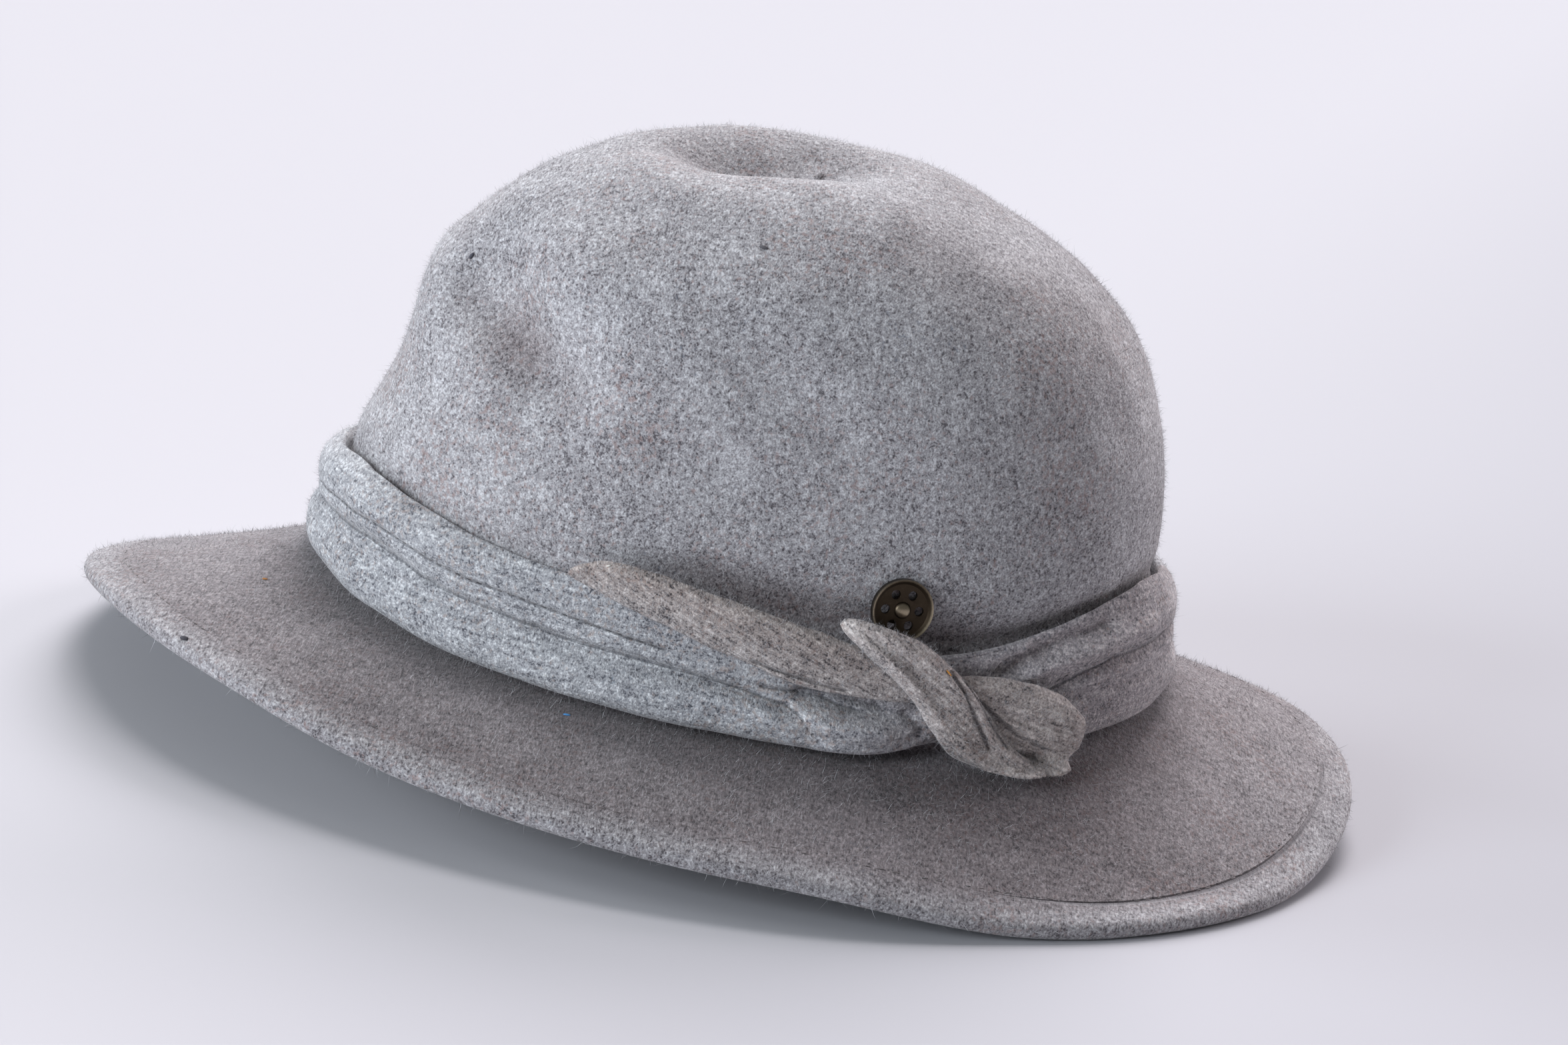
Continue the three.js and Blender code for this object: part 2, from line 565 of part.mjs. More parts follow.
function piece(name, geometry, color, roughness, metalness) {
  const material = new THREE.MeshStandardMaterial({ color, roughness, metalness });
  geometry.computeVertexNormals();
  const mesh = new THREE.Mesh(geometry, material);
  mesh.name = name;
  return mesh;
}

const fedora = new THREE.Group();
const trim = (geometry) => geometry.applyMatrix4(STAND);
fedora.add(
  piece('crown_and_brim', pinnedFelt(), FELT_GREY, 1, 0),
  piece('hat_band', trim(hatBand()), BAND_GREY, 1, 0),
  piece('long_tail', trim(layer(LONG_TAIL, PLAIN_FACE)), BAND_GREY, 1, 0),
  piece('knot_wrap', trim(layer(KNOT_WRAP, WRAP_FACE)), BAND_GREY, 1, 0),
  piece('short_tail', trim(layer(SHORT_TAIL, PLAIN_FACE)), BAND_GREY, 1, 0),
  piece('metal_stud', trim(metalStud()), BRONZE, 0.4, 0.9),
);

// The hat stands on the floor, over the middle of its outline.
const middle = new THREE.Box3().setFromObject(fedora).getCenter(new THREE.Vector3());
for (const mesh of fedora.children) mesh.position.set(-middle.x, -middle.y, 0);

export default fedora;
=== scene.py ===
# %% [markdown]
# # A knotted grey fedora
#
# The hat is one piece of blocked wool felt, a hollow crown with a soft brim. A folded strip of the
# same felt runs round the crown and is tied at the wearer's left, under a round metal stud. The
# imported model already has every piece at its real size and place. This lesson dresses it: each
# solid is copied, rounded, creased and given a felt that looks like wool.

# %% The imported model
import json
import math

import bpy
import numpy as np
from mathutils import Matrix, Vector, noise
from mathutils.bvhtree import BVHTree

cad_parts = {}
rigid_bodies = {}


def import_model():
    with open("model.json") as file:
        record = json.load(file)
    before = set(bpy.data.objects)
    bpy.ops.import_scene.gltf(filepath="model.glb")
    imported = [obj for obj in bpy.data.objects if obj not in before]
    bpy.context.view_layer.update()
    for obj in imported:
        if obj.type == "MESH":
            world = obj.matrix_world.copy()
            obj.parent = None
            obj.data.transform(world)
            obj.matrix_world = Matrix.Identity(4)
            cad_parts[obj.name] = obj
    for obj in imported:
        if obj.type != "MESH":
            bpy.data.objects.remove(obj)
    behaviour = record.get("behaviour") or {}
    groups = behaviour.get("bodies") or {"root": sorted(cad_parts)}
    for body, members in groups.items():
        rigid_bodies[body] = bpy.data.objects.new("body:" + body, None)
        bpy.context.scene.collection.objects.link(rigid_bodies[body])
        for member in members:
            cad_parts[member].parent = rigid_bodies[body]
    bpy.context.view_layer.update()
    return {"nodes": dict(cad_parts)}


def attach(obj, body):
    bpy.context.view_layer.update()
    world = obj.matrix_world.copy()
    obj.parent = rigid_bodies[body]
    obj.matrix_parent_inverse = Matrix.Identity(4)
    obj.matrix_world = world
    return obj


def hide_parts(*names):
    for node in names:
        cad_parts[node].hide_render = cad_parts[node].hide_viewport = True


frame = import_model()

MM = 0.001
HAT_MIDDLE = Vector((-0.0002, 0.003, 0.027))  # the middle of the crown's base
print("packed nodes:", sorted(frame["nodes"]))

# %% [markdown]
# ## The camera
#
# The hat was seen from its knotted side, from a little above, with the lens turned slightly. A long
# lens keeps the far brim from shrinking. Blender turns a camera with a matrix whose columns are its
# right, its up and its back, so those three are worked out from two angles and a roll.

# %% Camera
CAMERA_ELEVATION = math.radians(15.8)
CAMERA_ROLL = math.radians(9.6)
CAMERA_DISTANCE = 0.9
CAMERA_LENS = 85.4
CAMERA_SENSOR = 36
CAMERA_SHIFT = (0.0255, 0.06)
CLIP_START = 0.01


def add_camera():
    back = Vector((math.cos(CAMERA_ELEVATION), 0, math.sin(CAMERA_ELEVATION)))
    level = Vector((0, 1, 0))
    right = level * math.cos(CAMERA_ROLL) + back.cross(level) * math.sin(CAMERA_ROLL)
    turned = Matrix((right, back.cross(right), back)).transposed().to_4x4()
    turned.translation = HAT_MIDDLE + back * CAMERA_DISTANCE
    bpy.ops.object.camera_add()
    camera = bpy.context.object
    camera.matrix_world = turned
    camera.data.lens = CAMERA_LENS
    camera.data.sensor_width = CAMERA_SENSOR
    camera.data.shift_x, camera.data.shift_y = CAMERA_SHIFT
    camera.data.clip_start = CLIP_START
    bpy.context.scene.camera = camera
    return camera


camera = add_camera()
print("camera at", [round(value, 3) for value in camera.location])

# %% [markdown]
# ## Light
#
# The hat stood in a pale room with windows in front of it and behind it, and nothing bright on the
# near side, so its crown is lit from the left and the near brim lies in the crown's shade. Sun lamps
# with a wide disc stand for the windows: their shadows are as soft as a window's, and they light
# the floor evenly, however far it goes. Area lamps would fade over the floor, and a picture of a room
# for the sky would be one more file.

# %% World and lights
WORLD_LIGHT = 0.18
WORLD_COLOUR = (0.97, 0.98, 1, 1)
WINDOW_DISC = math.radians(28)
WINDOWS = [  # bearing from the front toward the wearer's left, elevation, strength and colour
    {"name": "front_window", "bearing": 0, "up": 16, "strength": 1.45, "colour": (0.95, 1.0, 1.06)},
    {"name": "near_window", "bearing": 42, "up": 16, "strength": 2.0, "colour": (0.92, 1.0, 1.08)},
    {"name": "far_window", "bearing": 262, "up": 36, "strength": 2.2, "colour": (1.04, 0.99, 1.03)},
    {"name": "far_ceiling", "bearing": 275, "up": 64, "strength": 1.3, "colour": (1.03, 0.99, 1.01)},
    {"name": "back_window", "bearing": 222, "up": 16, "strength": 1.6, "colour": (1.06, 0.97, 1.03)},
]


def add_world():
    world = bpy.data.worlds.new("pale_room")
    world.use_nodes = True
    background = world.node_tree.nodes["Background"]
    background.inputs["Color"].default_value = WORLD_COLOUR
    background.inputs["Strength"].default_value = WORLD_LIGHT
    bpy.context.scene.world = world


def add_window(name, bearing, up, strength, colour):
    round_hat, rise = math.radians(bearing), math.radians(up)
    level = Vector((math.sin(round_hat), -math.cos(round_hat), 0))
    toward = level * math.cos(rise) + Vector((0, 0, math.sin(rise)))
    bpy.ops.object.light_add(type="SUN", location=HAT_MIDDLE + toward)
    window = bpy.context.object
    window.name = name
    window.data.energy = strength
    window.data.angle = WINDOW_DISC
    window.data.color = colour
    window.rotation_euler = toward.to_track_quat("Z", "Y").to_euler()


add_world()
for row in WINDOWS:
    add_window(**row)
bpy.context.scene.view_settings.view_transform = "Standard"

# %% [markdown]
# ## Tools for soft shapes
#
# Felt has no hard edges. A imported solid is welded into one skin, its triangles are joined to
# quads, and a subdivision rounds it. After that it is shaped as a sculptor would do it, by pressing
# or raising the skin along a path. A few small functions do that for every piece.

# %% Selecting, welding and rounding
WELD = 0.01 * MM
QUAD_ANGLE = math.radians(70)


def only(piece):
    """Selects one object and nothing else, in object mode."""
    if bpy.context.mode != "OBJECT":
        bpy.ops.object.mode_set(mode="OBJECT")
    bpy.ops.object.select_all(action="DESELECT")
    piece.select_set(True)
    bpy.context.view_layer.objects.active = piece


def new_piece(name, mesh):
    piece = bpy.data.objects.new(name, mesh)
    bpy.context.scene.collection.objects.link(piece)
    return piece


def apply_modifier(piece, kind, **settings):
    only(piece)
    modifier = piece.modifiers.new(kind.lower(), kind)
    for key, value in settings.items():
        setattr(modifier, key, value)
    bpy.ops.object.modifier_apply(modifier=modifier.name)


def softened(node, name, levels):
    """A welded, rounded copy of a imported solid."""
    piece = new_piece(name, frame["nodes"][node].data.copy())
    only(piece)
    bpy.ops.mesh.customdata_custom_splitnormals_clear()
    bpy.ops.object.mode_set(mode="EDIT")
    bpy.ops.mesh.select_all(action="SELECT")
    bpy.ops.mesh.remove_doubles(threshold=WELD)
    bpy.ops.mesh.tris_convert_to_quads(face_threshold=QUAD_ANGLE, shape_threshold=QUAD_ANGLE)
    bpy.ops.object.mode_set(mode="OBJECT")
    piece.data.materials.clear()
    apply_modifier(piece, "SUBSURF", levels=levels, render_levels=levels)
    bpy.ops.object.shade_smooth()
    return piece


# %% Reading and moving a skin
CROWN_HEART = np.array([0, 3, 60])  # a point inside the crown, in mm
BASE_MIDDLE = np.array(HAT_MIDDLE) / MM  # the middle of the crown's base, in mm


def places(piece):
    """All vertices of a piece, in millimetres."""
    flat = np.empty(len(piece.data.vertices) * 3)
    piece.data.vertices.foreach_get("co", flat)
    return flat.reshape(-1, 3) / MM


def normals(piece):
    flat = np.empty(len(piece.data.vertices) * 3)
    piece.data.vertices.foreach_get("normal", flat)
    return flat.reshape(-1, 3)


def move_to(piece, points):
    piece.data.vertices.foreach_set("co", (points * MM).ravel())
    piece.data.update()


def away_from_heart(piece):
    """The way out of the crown at each vertex, the same for both faces of the felt."""
    out = normals(piece)
    facing = ((places(piece) - CROWN_HEART) * out).sum(axis=1)
    return out * np.sign(facing)[:, None]


def turn_of(points):
    """Degrees round the hat, from the front toward the wearer's left."""
    return np.degrees(np.arctan2(points[:, 0] - BASE_MIDDLE[0], BASE_MIDDLE[1] - points[:, 1]))


def write_attribute(piece, name, values):
    attribute = piece.data.attributes.new(name, "FLOAT", "POINT")
    attribute.data.foreach_set("value", np.asarray(values, np.float32))


# %% [markdown]
# Everything on the band lies on the crown's wall, so its folds are easiest to give as turns round the
# hat and heights, as on a map that is unrolled from the wall. A fold is a soft valley along a path
# on that map, or a ridge where its depth is negative. A lap is the free edge of a layer: the skin
# drops at the path and rises again below it.

# %% The unrolled wall
WALL_REACH = 90  # the wall's usual distance from the hat's middle, in mm


def unrolled(points):
    return np.column_stack([np.radians(turn_of(points)) * WALL_REACH, points[:, 2]])


def on_map(path):
    return [(math.radians(turn) * WALL_REACH, up) for turn, up in path]


def distance_to_path(points, path):
    """How far each point is from a path of straight stretches."""
    nearest = np.full(len(points), np.inf)
    corners = np.array(path, float)
    for start, end in zip(corners[:-1], corners[1:]):
        along = end - start
        share = np.clip((points - start) @ along / (along @ along), 0, 1)
        nearest = np.minimum(nearest, np.linalg.norm(points - start - share[:, None] * along, axis=1))
    return nearest


def nearest_path(flat, rows):
    """How far each point on the map is from the nearest of several folds."""
    return np.min([distance_to_path(flat, on_map(row["path"])) for row in rows], axis=0)


def height_over_path(points, path):
    """How far above a path on the map each point is, or below it where negative."""
    corners = np.array(path, float)
    return points[:, 1] - np.interp(points[:, 0], corners[:, 0], corners[:, 1])


# %% Pressing and raising a skin
EDGE_FADE = 2.5  # how sharply the shaping stops where a skin turns its edge to the eye
LAP_EDGE = 0.3  # a lap drops over this distance above its path, in mm
NOISE_STEPS = (17.3, 5.1, 9.7)  # how far apart the noise of two seeds is read


def outer_share(piece):
    """The level way out at each vertex, and a share that is 1 where the skin faces that way."""
    points = places(piece)
    level = points[:, :2] - CROWN_HEART[:2]
    level /= np.linalg.norm(level, axis=1)[:, None]
    facing = (normals(piece)[:, :2] * level).sum(axis=1)
    return level, np.clip(facing * EDGE_FADE, 0, 1)


def shift_out(piece, amount):
    """Moves the outer face of a skin away from the crown by an amount in mm at each vertex."""
    level, share = outer_share(piece)
    points = places(piece)
    points[:, :2] += level * (amount * share)[:, None]
    move_to(piece, points)


def fold(piece, path, wide, deep):
    distance = distance_to_path(unrolled(places(piece)), on_map(path))
    shift_out(piece, -deep * np.exp(-((distance / wide) ** 2)))


def lap(piece, path, wide, deep):
    flat = unrolled(places(piece))
    distance = distance_to_path(flat, on_map(path))
    below = height_over_path(flat, on_map(path)) < 0
    reach = np.where(below, wide, LAP_EDGE)
    shift_out(piece, -deep * np.exp(-((distance / reach) ** 2)))


def press(piece, path, wide, deep):
    """Presses both faces of the felt in along a path in space."""
    points = places(piece)
    amount = deep * np.exp(-((distance_to_path(points, path) / wide) ** 2))
    move_to(piece, points - away_from_heart(piece) * amount[:, None])


def ripple(piece, size, height, seed, share=1.0):
    """Moves a skin in and out by a smooth noise, as soft felt never lies quite even."""
    points = places(piece)
    shift = Vector([seed * step for step in NOISE_STEPS])
    amount = np.array([noise.noise(Vector(point) / size + shift) for point in points])
    move_to(piece, points + away_from_heart(piece) * (amount * height * share)[:, None])


# %% Finding the skin at a turn and height
RAY_START = 0.3  # rays toward the hat start this far from its axis, in metres


def skin_tree(mesh):
    corners = [tuple(vertex.co) for vertex in mesh.vertices]
    return BVHTree.FromPolygons(corners, [tuple(face.vertices) for face in mesh.polygons])


def skin_at(tree, turn, up):
    """The outermost point and its normal at a turn and a height in mm, and the level way out."""
    round_hat = math.radians(turn)
    out = Vector((math.sin(round_hat), -math.cos(round_hat), 0))
    start = Vector((HAT_MIDDLE.x, HAT_MIDDLE.y, up * MM)) + out * RAY_START
    place, normal, _, _ = tree.ray_cast(start, -out)
    return place, normal, out


# %% [markdown]
# ## Shader arithmetic
#
# A felt finish needs many small sums. Writing each one as a Math node hides the idea, so a small
# class wraps a socket and lets Python's own operators add the nodes.

# %% Sockets that do sums
class Wire:
    """A number in a material, which adds a Math node for each sum it takes part in."""

    def __init__(self, finish, socket):
        self.finish = finish
        self.socket = socket

    def maths(self, operation, *values):
        return self.finish.node("ShaderNodeMath", {"operation": operation}, values)

    def __add__(self, other):
        return self.maths("ADD", self, other)

    def __radd__(self, other):
        return self.maths("ADD", other, self)

    def __sub__(self, other):
        return self.maths("SUBTRACT", self, other)

    def __rsub__(self, other):
        return self.maths("SUBTRACT", other, self)

    def __mul__(self, other):
        return self.maths("MULTIPLY", self, other)

    def __rmul__(self, other):
        return self.maths("MULTIPLY", other, self)

    def ramp(self, low, high):
        """0 below low, 1 above high, and smooth between them."""
        settings = {"interpolation_type": "SMOOTHSTEP"}
        return self.finish.node("ShaderNodeMapRange", settings, (self, low, high, 0.0, 1.0))

    def line(self, wide):
        """1 where a distance is 0, falling to 0 at a width."""
        return 1 - self.maths("ABSOLUTE", self).ramp(0.0, wide)


# %% Materials built node by node
MIX_FIRST, MIX_SECOND, MIX_RESULT = 6, 7, 2  # the mix node's colour sockets


class Finish:
    """A material that is built up node by node."""

    def __init__(self, name, **constants):
        self.material = bpy.data.materials.new(name)
        self.material.use_nodes = True
        self.tree = self.material.node_tree
        self.shader = self.tree.nodes["Principled BSDF"]
        for key, value in constants.items():
            self.shader.inputs[key.replace("_", " ")].default_value = value

    def node(self, kind, settings=None, inputs=(), output=0):
        """Adds a node. Inputs are given in order, or by name."""
        made = self.tree.nodes.new(kind)
        for key, value in (settings or {}).items():
            setattr(made, key, value)
        named = inputs.items() if isinstance(inputs, dict) else enumerate(inputs)
        for key, value in named:
            self.feed(made.inputs[key], value)
        return Wire(self, made.outputs[output])

    def feed(self, socket, value):
        if isinstance(value, Wire):
            self.tree.links.new(value.socket, socket)
        else:
            socket.default_value = value

    def set(self, **values):
        for key, value in values.items():
            self.feed(self.shader.inputs[key.replace("_", " ")], value)

    def object_place(self, stretch=(1, 1, 1), turn=(0, 0, 0)):
        """Object coordinates in millimetres, stretched and turned."""
        here = self.node("ShaderNodeTexCoord", output="Object")
        scale = [value / MM for value in stretch]
        return self.node("ShaderNodeMapping", inputs={"Vector": here, "Rotation": turn, "Scale": scale})

    def noise(self, place, scale, detail=2.0, roughness=0.5):
        inputs = {"Vector": place, "Scale": scale, "Detail": detail, "Roughness": roughness}
        return self.node("ShaderNodeTexNoise", inputs=inputs, output="Fac")

    def attribute(self, name):
        return self.node("ShaderNodeAttribute", {"attribute_name": name}, output="Fac")

    def mix(self, factor, first, second):
        """A colour between two colours. The mix node keeps its colour sockets after its numbers."""
        inputs = {0: factor, MIX_FIRST: first, MIX_SECOND: second}
        return self.node("ShaderNodeMix", {"data_type": "RGBA"}, inputs, MIX_RESULT)

    def multiply(self, colour, by):
        return self.node("ShaderNodeVectorMath", {"operation": "MULTIPLY"}, (colour, by))

    def bump(self, height, distance, strength=1.0):
        """Feeds a height in millimetres to the normal."""
        inputs = {"Height": height, "Distance": distance * MM, "Strength": strength}
        self.set(Normal=self.node("ShaderNodeBump", inputs=inputs))


# %% Colours
def rgb(red, green, blue):
    """A colour from its screen values, 0 to 255."""
    def linear(value):
        share = value / 255
        return share / 12.92 if share <= 0.04045 else ((share + 0.055) / 1.055) ** 2.4

    return (linear(red), linear(green), linear(blue), 1.0)


print("mid grey:", [round(value, 3) for value in rgb(128, 128, 128)])

# %% [markdown]
# ## Floor
#
# The hat rests on a wide pale plane, its colour a little darker, a painted shade, on the near side
# toward the wearer's back. A curved backdrop would show its bend when the hat is seen from other
# sides. A flat floor has none.

# %% Pale floor
FLOOR_WIDTH = 14
DUSK_WAY = (0.3, 1, 0)  # the floor darkens this way
DUSK = (-0.15, 0.45)  # from here to there along that way, in metres
FLOOR_LIT = (0.6, 0.6, 0.63, 1)
FLOOR_DUSK = (0.45, 0.45, 0.48, 1)


def add_floor():
    pale = Finish("studio_floor", Roughness=1.0, Specular_IOR_Level=0.0)
    here = pale.node("ShaderNodeTexCoord", output="Object")
    settings = {"operation": "DOT_PRODUCT"}
    toward_dusk = pale.node("ShaderNodeVectorMath", settings, (here, DUSK_WAY), output="Value")
    # painted shade: the floor's colour goes from lit to dusk along that way
    pale.set(Base_Color=pale.mix(toward_dusk.ramp(*DUSK), FLOOR_LIT, FLOOR_DUSK))
    bpy.ops.mesh.primitive_plane_add(size=FLOOR_WIDTH)
    floor = bpy.context.object
    floor.name = "studio_floor"
    floor.data.materials.append(pale.material)


add_floor()
print("floor:", FLOOR_WIDTH, "m wide")

# %% [markdown]
# ## Wool felt
#
# Grey felt isn't grey wool. White, charcoal, brown and blue-grey fibres are mixed before felting,
# and from a hand's breadth away the eye still finds them: clumps about a millimetre across, with
# short strokes over them in every direction. Noise makes the clumps, noise drawn out along three
# directions makes the strokes, and a slow noise shifts the tone over a few centimetres. The same
# heights lift the surface a little, and sheen gives the pale bloom of loose fibres at a grazing view.
# Where the strip was cut and pulled, its fibres lie along it: such streaks follow two attributes
# that every piece of the band carries, how far along and how far across it a point is.

# %% What felt is made of
CLUMP = {"scale": 0.8, "detail": 4.0, "roughness": 0.62}  # noises, with their scale in cells a mm
GRAIN = {"scale": 1.7, "detail": 2.0, "roughness": 0.6}
CLOUD = {"scale": 0.11, "detail": 3.0, "roughness": 0.6}
DRIFT = {"scale": 0.03, "detail": 2.0, "roughness": 0.5}
STROKE = {"scale": 1.0, "detail": 2.0, "roughness": 0.55}
STREAK = {"scale": 1.0, "detail": 4.0, "roughness": 0.65}
TINT = {"scale": 0.85, "detail": 2.0, "roughness": 0.6}
WARM = {"scale": 0.04, "detail": 2.0, "roughness": 0.5}
WARM_SHARE = 0.5
FELT_SHEEN = {
    "Roughness": 0.92,
    "Sheen_Weight": 0.3,
    "Sheen_Roughness": 0.45,
    "Specular_IOR_Level": 0.15,
}
TONE_SHARES = (1.6, 0.8, 0.8, 0.5, 0.4)  # of clumps, grain, strokes, clouds and drift
HEIGHT_SHARES = (0.5, 0.25, 0.22)  # of clumps, grain and strokes
STROKE_TURNS = ((0.3, 0.2, 0.1), (1.2, 0.4, 0.9), (0.5, 1.3, 2.1))
STROKE_STRETCH = (0.42, 2.3, 2.3)  # strokes are long along their own X
STREAK_STRETCH = (0.11, 1.0)  # streaks are long along the strip
STREAK_FADE = 0.8  # how much of the other tones streaks leave
LIGHT_FROM = -0.05  # felt turns pale from this tone up
DARK_FROM = -0.02  # and dark from this tone down, where the tone is read with its sign turned
FULL_TONE = 0.55  # and it is fully pale or dark this far from the middle
BROWN_TINT = (0.8, 0.98, 0.5)  # where the tint turns brown, where it is full, and how strongly
BLUE_TINT = (0.92, 1.1, 0.45)
LINE_DEPTH = 1.4  # how deep a line sinks beside the felt's own relief
FELT_RELIEF = 0.55  # in mm
RELIEF_STRENGTH = 0.9
HALF = 0.5  # the middle of a noise
print("grains across a clump:", round(GRAIN["scale"] / CLUMP["scale"], 1))

# %% Felt finish
def weighted(parts, shares):
    """The sum of several wires, each times its share."""
    total = parts[0] * shares[0]
    for part, share in zip(parts[1:], shares[1:]):
        total = total + part * share
    return total


def felt(name, light, middle, dark, brown, blue, lines=(), zones=(), streaks=0.0, contrast=1.0):
    """A melange felt. Lines are (attribute, width, darkness) of stitched or folded lines: dark seams,
    and painted shade in folds. Zones are (attribute, colour) where the colour changes: painted shade,
    a painted highlight, and the brim's browner felt."""
    finish = Finish(name, **FELT_SHEEN)
    here = finish.object_place()
    clump, grain, cloud, drift = (finish.noise(here, **row) for row in (CLUMP, GRAIN, CLOUD, DRIFT))
    drawn = [finish.object_place(STROKE_STRETCH, turn) for turn in STROKE_TURNS]
    first, second, third = (finish.noise(place, **STROKE) for place in drawn)
    strokes = first + second + third
    parts = (clump - HALF, grain - HALF, strokes - 3 * HALF, cloud - HALF, drift - HALF)
    tone = weighted(parts, TONE_SHARES)
    if streaks:
        along = finish.attribute("along") * STREAK_STRETCH[0]
        across = finish.attribute("across") * STREAK_STRETCH[1]
        flow = finish.node("ShaderNodeCombineXYZ", inputs={"X": along, "Y": across})
        streak = finish.noise(flow, **STREAK)
        tone = tone * STREAK_FADE + (streak - HALF) * streaks
    tone = tone * contrast
    paler = finish.mix(tone.ramp(LIGHT_FROM, FULL_TONE), middle, light)
    colour = finish.mix((0 - tone).ramp(DARK_FROM, FULL_TONE), paler, dark)
    tint = finish.noise(here, **TINT)
    warm = finish.noise(here, **WARM) * WARM_SHARE
    toward_brown, toward_blue = tint + warm, 1 + WARM_SHARE - tint - warm
    for way, (start, full, most), dye in (
        (toward_brown, BROWN_TINT, brown),
        (toward_blue, BLUE_TINT, blue),
    ):
        colour = finish.mix(way.ramp(start, full) * most, colour, dye)
    height = weighted((clump, grain, strokes), HEIGHT_SHARES)
    # zones: painted shade, a painted highlight, and the brim's browner felt
    for attribute, tone_colour in zones:
        colour = finish.mix(finish.attribute(attribute), colour, finish.multiply(colour, tone_colour))
    # lines: a seam's dark line, and painted shade along a fold
    for attribute, width, darkness in lines:
        line = finish.attribute(attribute).line(width) * darkness
        colour = finish.mix(line, colour, dark)
        height = height - line * LINE_DEPTH
    finish.set(Base_Color=colour)
    finish.bump(height, FELT_RELIEF, RELIEF_STRENGTH)
    return finish.material


# %% The three felts
HEM_LINE = 9.0  # the hem is stitched this far in from the brim's edge
body_felt = felt(
    "body_felt",
    light=rgb(206, 206, 209),
    middle=rgb(157, 155, 158),
    dark=rgb(86, 82, 86),
    brown=rgb(146, 120, 114),
    blue=rgb(118, 128, 142),
    lines=[("hem", 0.65, 0.85)],
    zones=[
        # the brim zone is the brim's browner felt and painted shade; the other three zones are painted
        # shade
        ("brim", (0.6, 0.545, 0.54)),
        ("shade", (0.56, 0.5, 0.49)),
        ("contact_shade", (0.5, 0.46, 0.47)),
        ("seat", (0.5, 0.47, 0.47)),
    ],
    contrast=1.15,
)
band_felt = felt(
    "band_felt",
    light=rgb(226, 228, 230),
    middle=rgb(162, 163, 167),
    dark=rgb(78, 79, 86),
    brown=rgb(156, 136, 126),
    blue=rgb(120, 136, 150),
    # a tuck's line is painted shade in the fold, and the flap's seam a dark stitched line
    lines=[("tuck", 0.45, 0.6)],
    # the shade zone is painted shade behind the knot, the other a painted highlight on raised folds
    zones=[("shade", (0.82, 0.73, 0.72)), ("wear_and_highlight", (1.3, 1.32, 1.34))],
    streaks=0.8,
    contrast=1.2,
)
knot_felt = felt(
    "knot_felt",
    light=rgb(233, 227, 224),
    middle=rgb(177, 169, 166),
    dark=rgb(79, 75, 77),
    brown=rgb(157, 134, 125),
    blue=rgb(124, 138, 148),
    # a crease's line is painted shade in the fold
    lines=[("crease", 0.5, 0.6)],
    # the shade zone is painted shade, darker and browner; the other a painted highlight on the wrap's
    # ridge
    zones=[("shade", (0.68, 0.61, 0.57)), ("wear_and_highlight", (1.35, 1.36, 1.38))],
    streaks=1.4,
    contrast=1.15,
)
print("felts:", body_felt.name, band_felt.name, knot_felt.name)

# %% [markdown]
# ## Crown and brim
#
# The hatter pulls one felt cone over a block, so crown and brim are one skin. The copy of the packed
# solid already has its centre dent and its pinches. What it lacks is the unevenness of a hat that
# has been worn: slow waves in the crown, and a groove where the tied band grips it, so that the
# crown swells over the band. The groove is deepest along the knot. A fold in the felt needs both its
# faces to move together, or the wall would be pinched thin. Other places are only painted: the brim
# is darker and browner than the crown, partly its own felt and partly painted shade; painted shade
# lies in the groove, the pinch, the dent and high on the crown's back, and where the band sits on
# the brim; and the hem's line comes and goes. Each such tone is an attribute that the felt finish
# reads. Sculpting by hand or a noise all over could make the waves too, but a short table of paths
# says where each of them is and how deep.

# %% Where the brim is painted
EDGE_STEPS = 180  # the brim's edge is read at this many turns
EDGE_PASSES = 2  # and smoothed this many times
BRIM_WIDE = 54  # the brim's root is this far in from its edge, in mm
BROWN_AND_SHADE_FADE = 8  # the brim's brown and painted shade fade over this distance at root and edge, in mm
BROWN_AND_SHADE_EDGE = 2  # they start this far in from the edge
LEAST_BROWN_AND_SHADE = 0.25  # and the edge itself has this share of them
# how much of the brim's browner felt and painted shade lies at each turn
BRIM_BROWN_AND_SHADE = {"turn": (-180, 0, 140, 170, 180), "share": (0.7, 1, 1, 0.7, 0.7)}
HEM_FAINT = {  # how many mm the hem line is narrower at a turn, or wider where negative
    "turn": (-180, -60, 0, 40, 70, 100, 118, 130, 150, 170),
    "less": (0.4, 0.4, 0.3, 0.2, 0.45, 0.4, 0.1, -0.15, -0.3, 0),
}
TRIMS = ("hat_band", "long_tail", "knot_wrap", "short_tail")
BAND_FOOT = 34  # the trims shade the felt that lies below this height, in mm
FOOT_FADE = 4
SEAT_SHADE_REACH = 2.8  # how wide the line of painted shade is where the band sits on the brim, in mm
CONTACT_SHADE_REACH = {"turn": (70, 95, 150, 168), "reach": (11, 24, 28, 13)}  # the softer painted shade's reach
print("softer shade reaches", max(CONTACT_SHADE_REACH["reach"]), "mm at most")

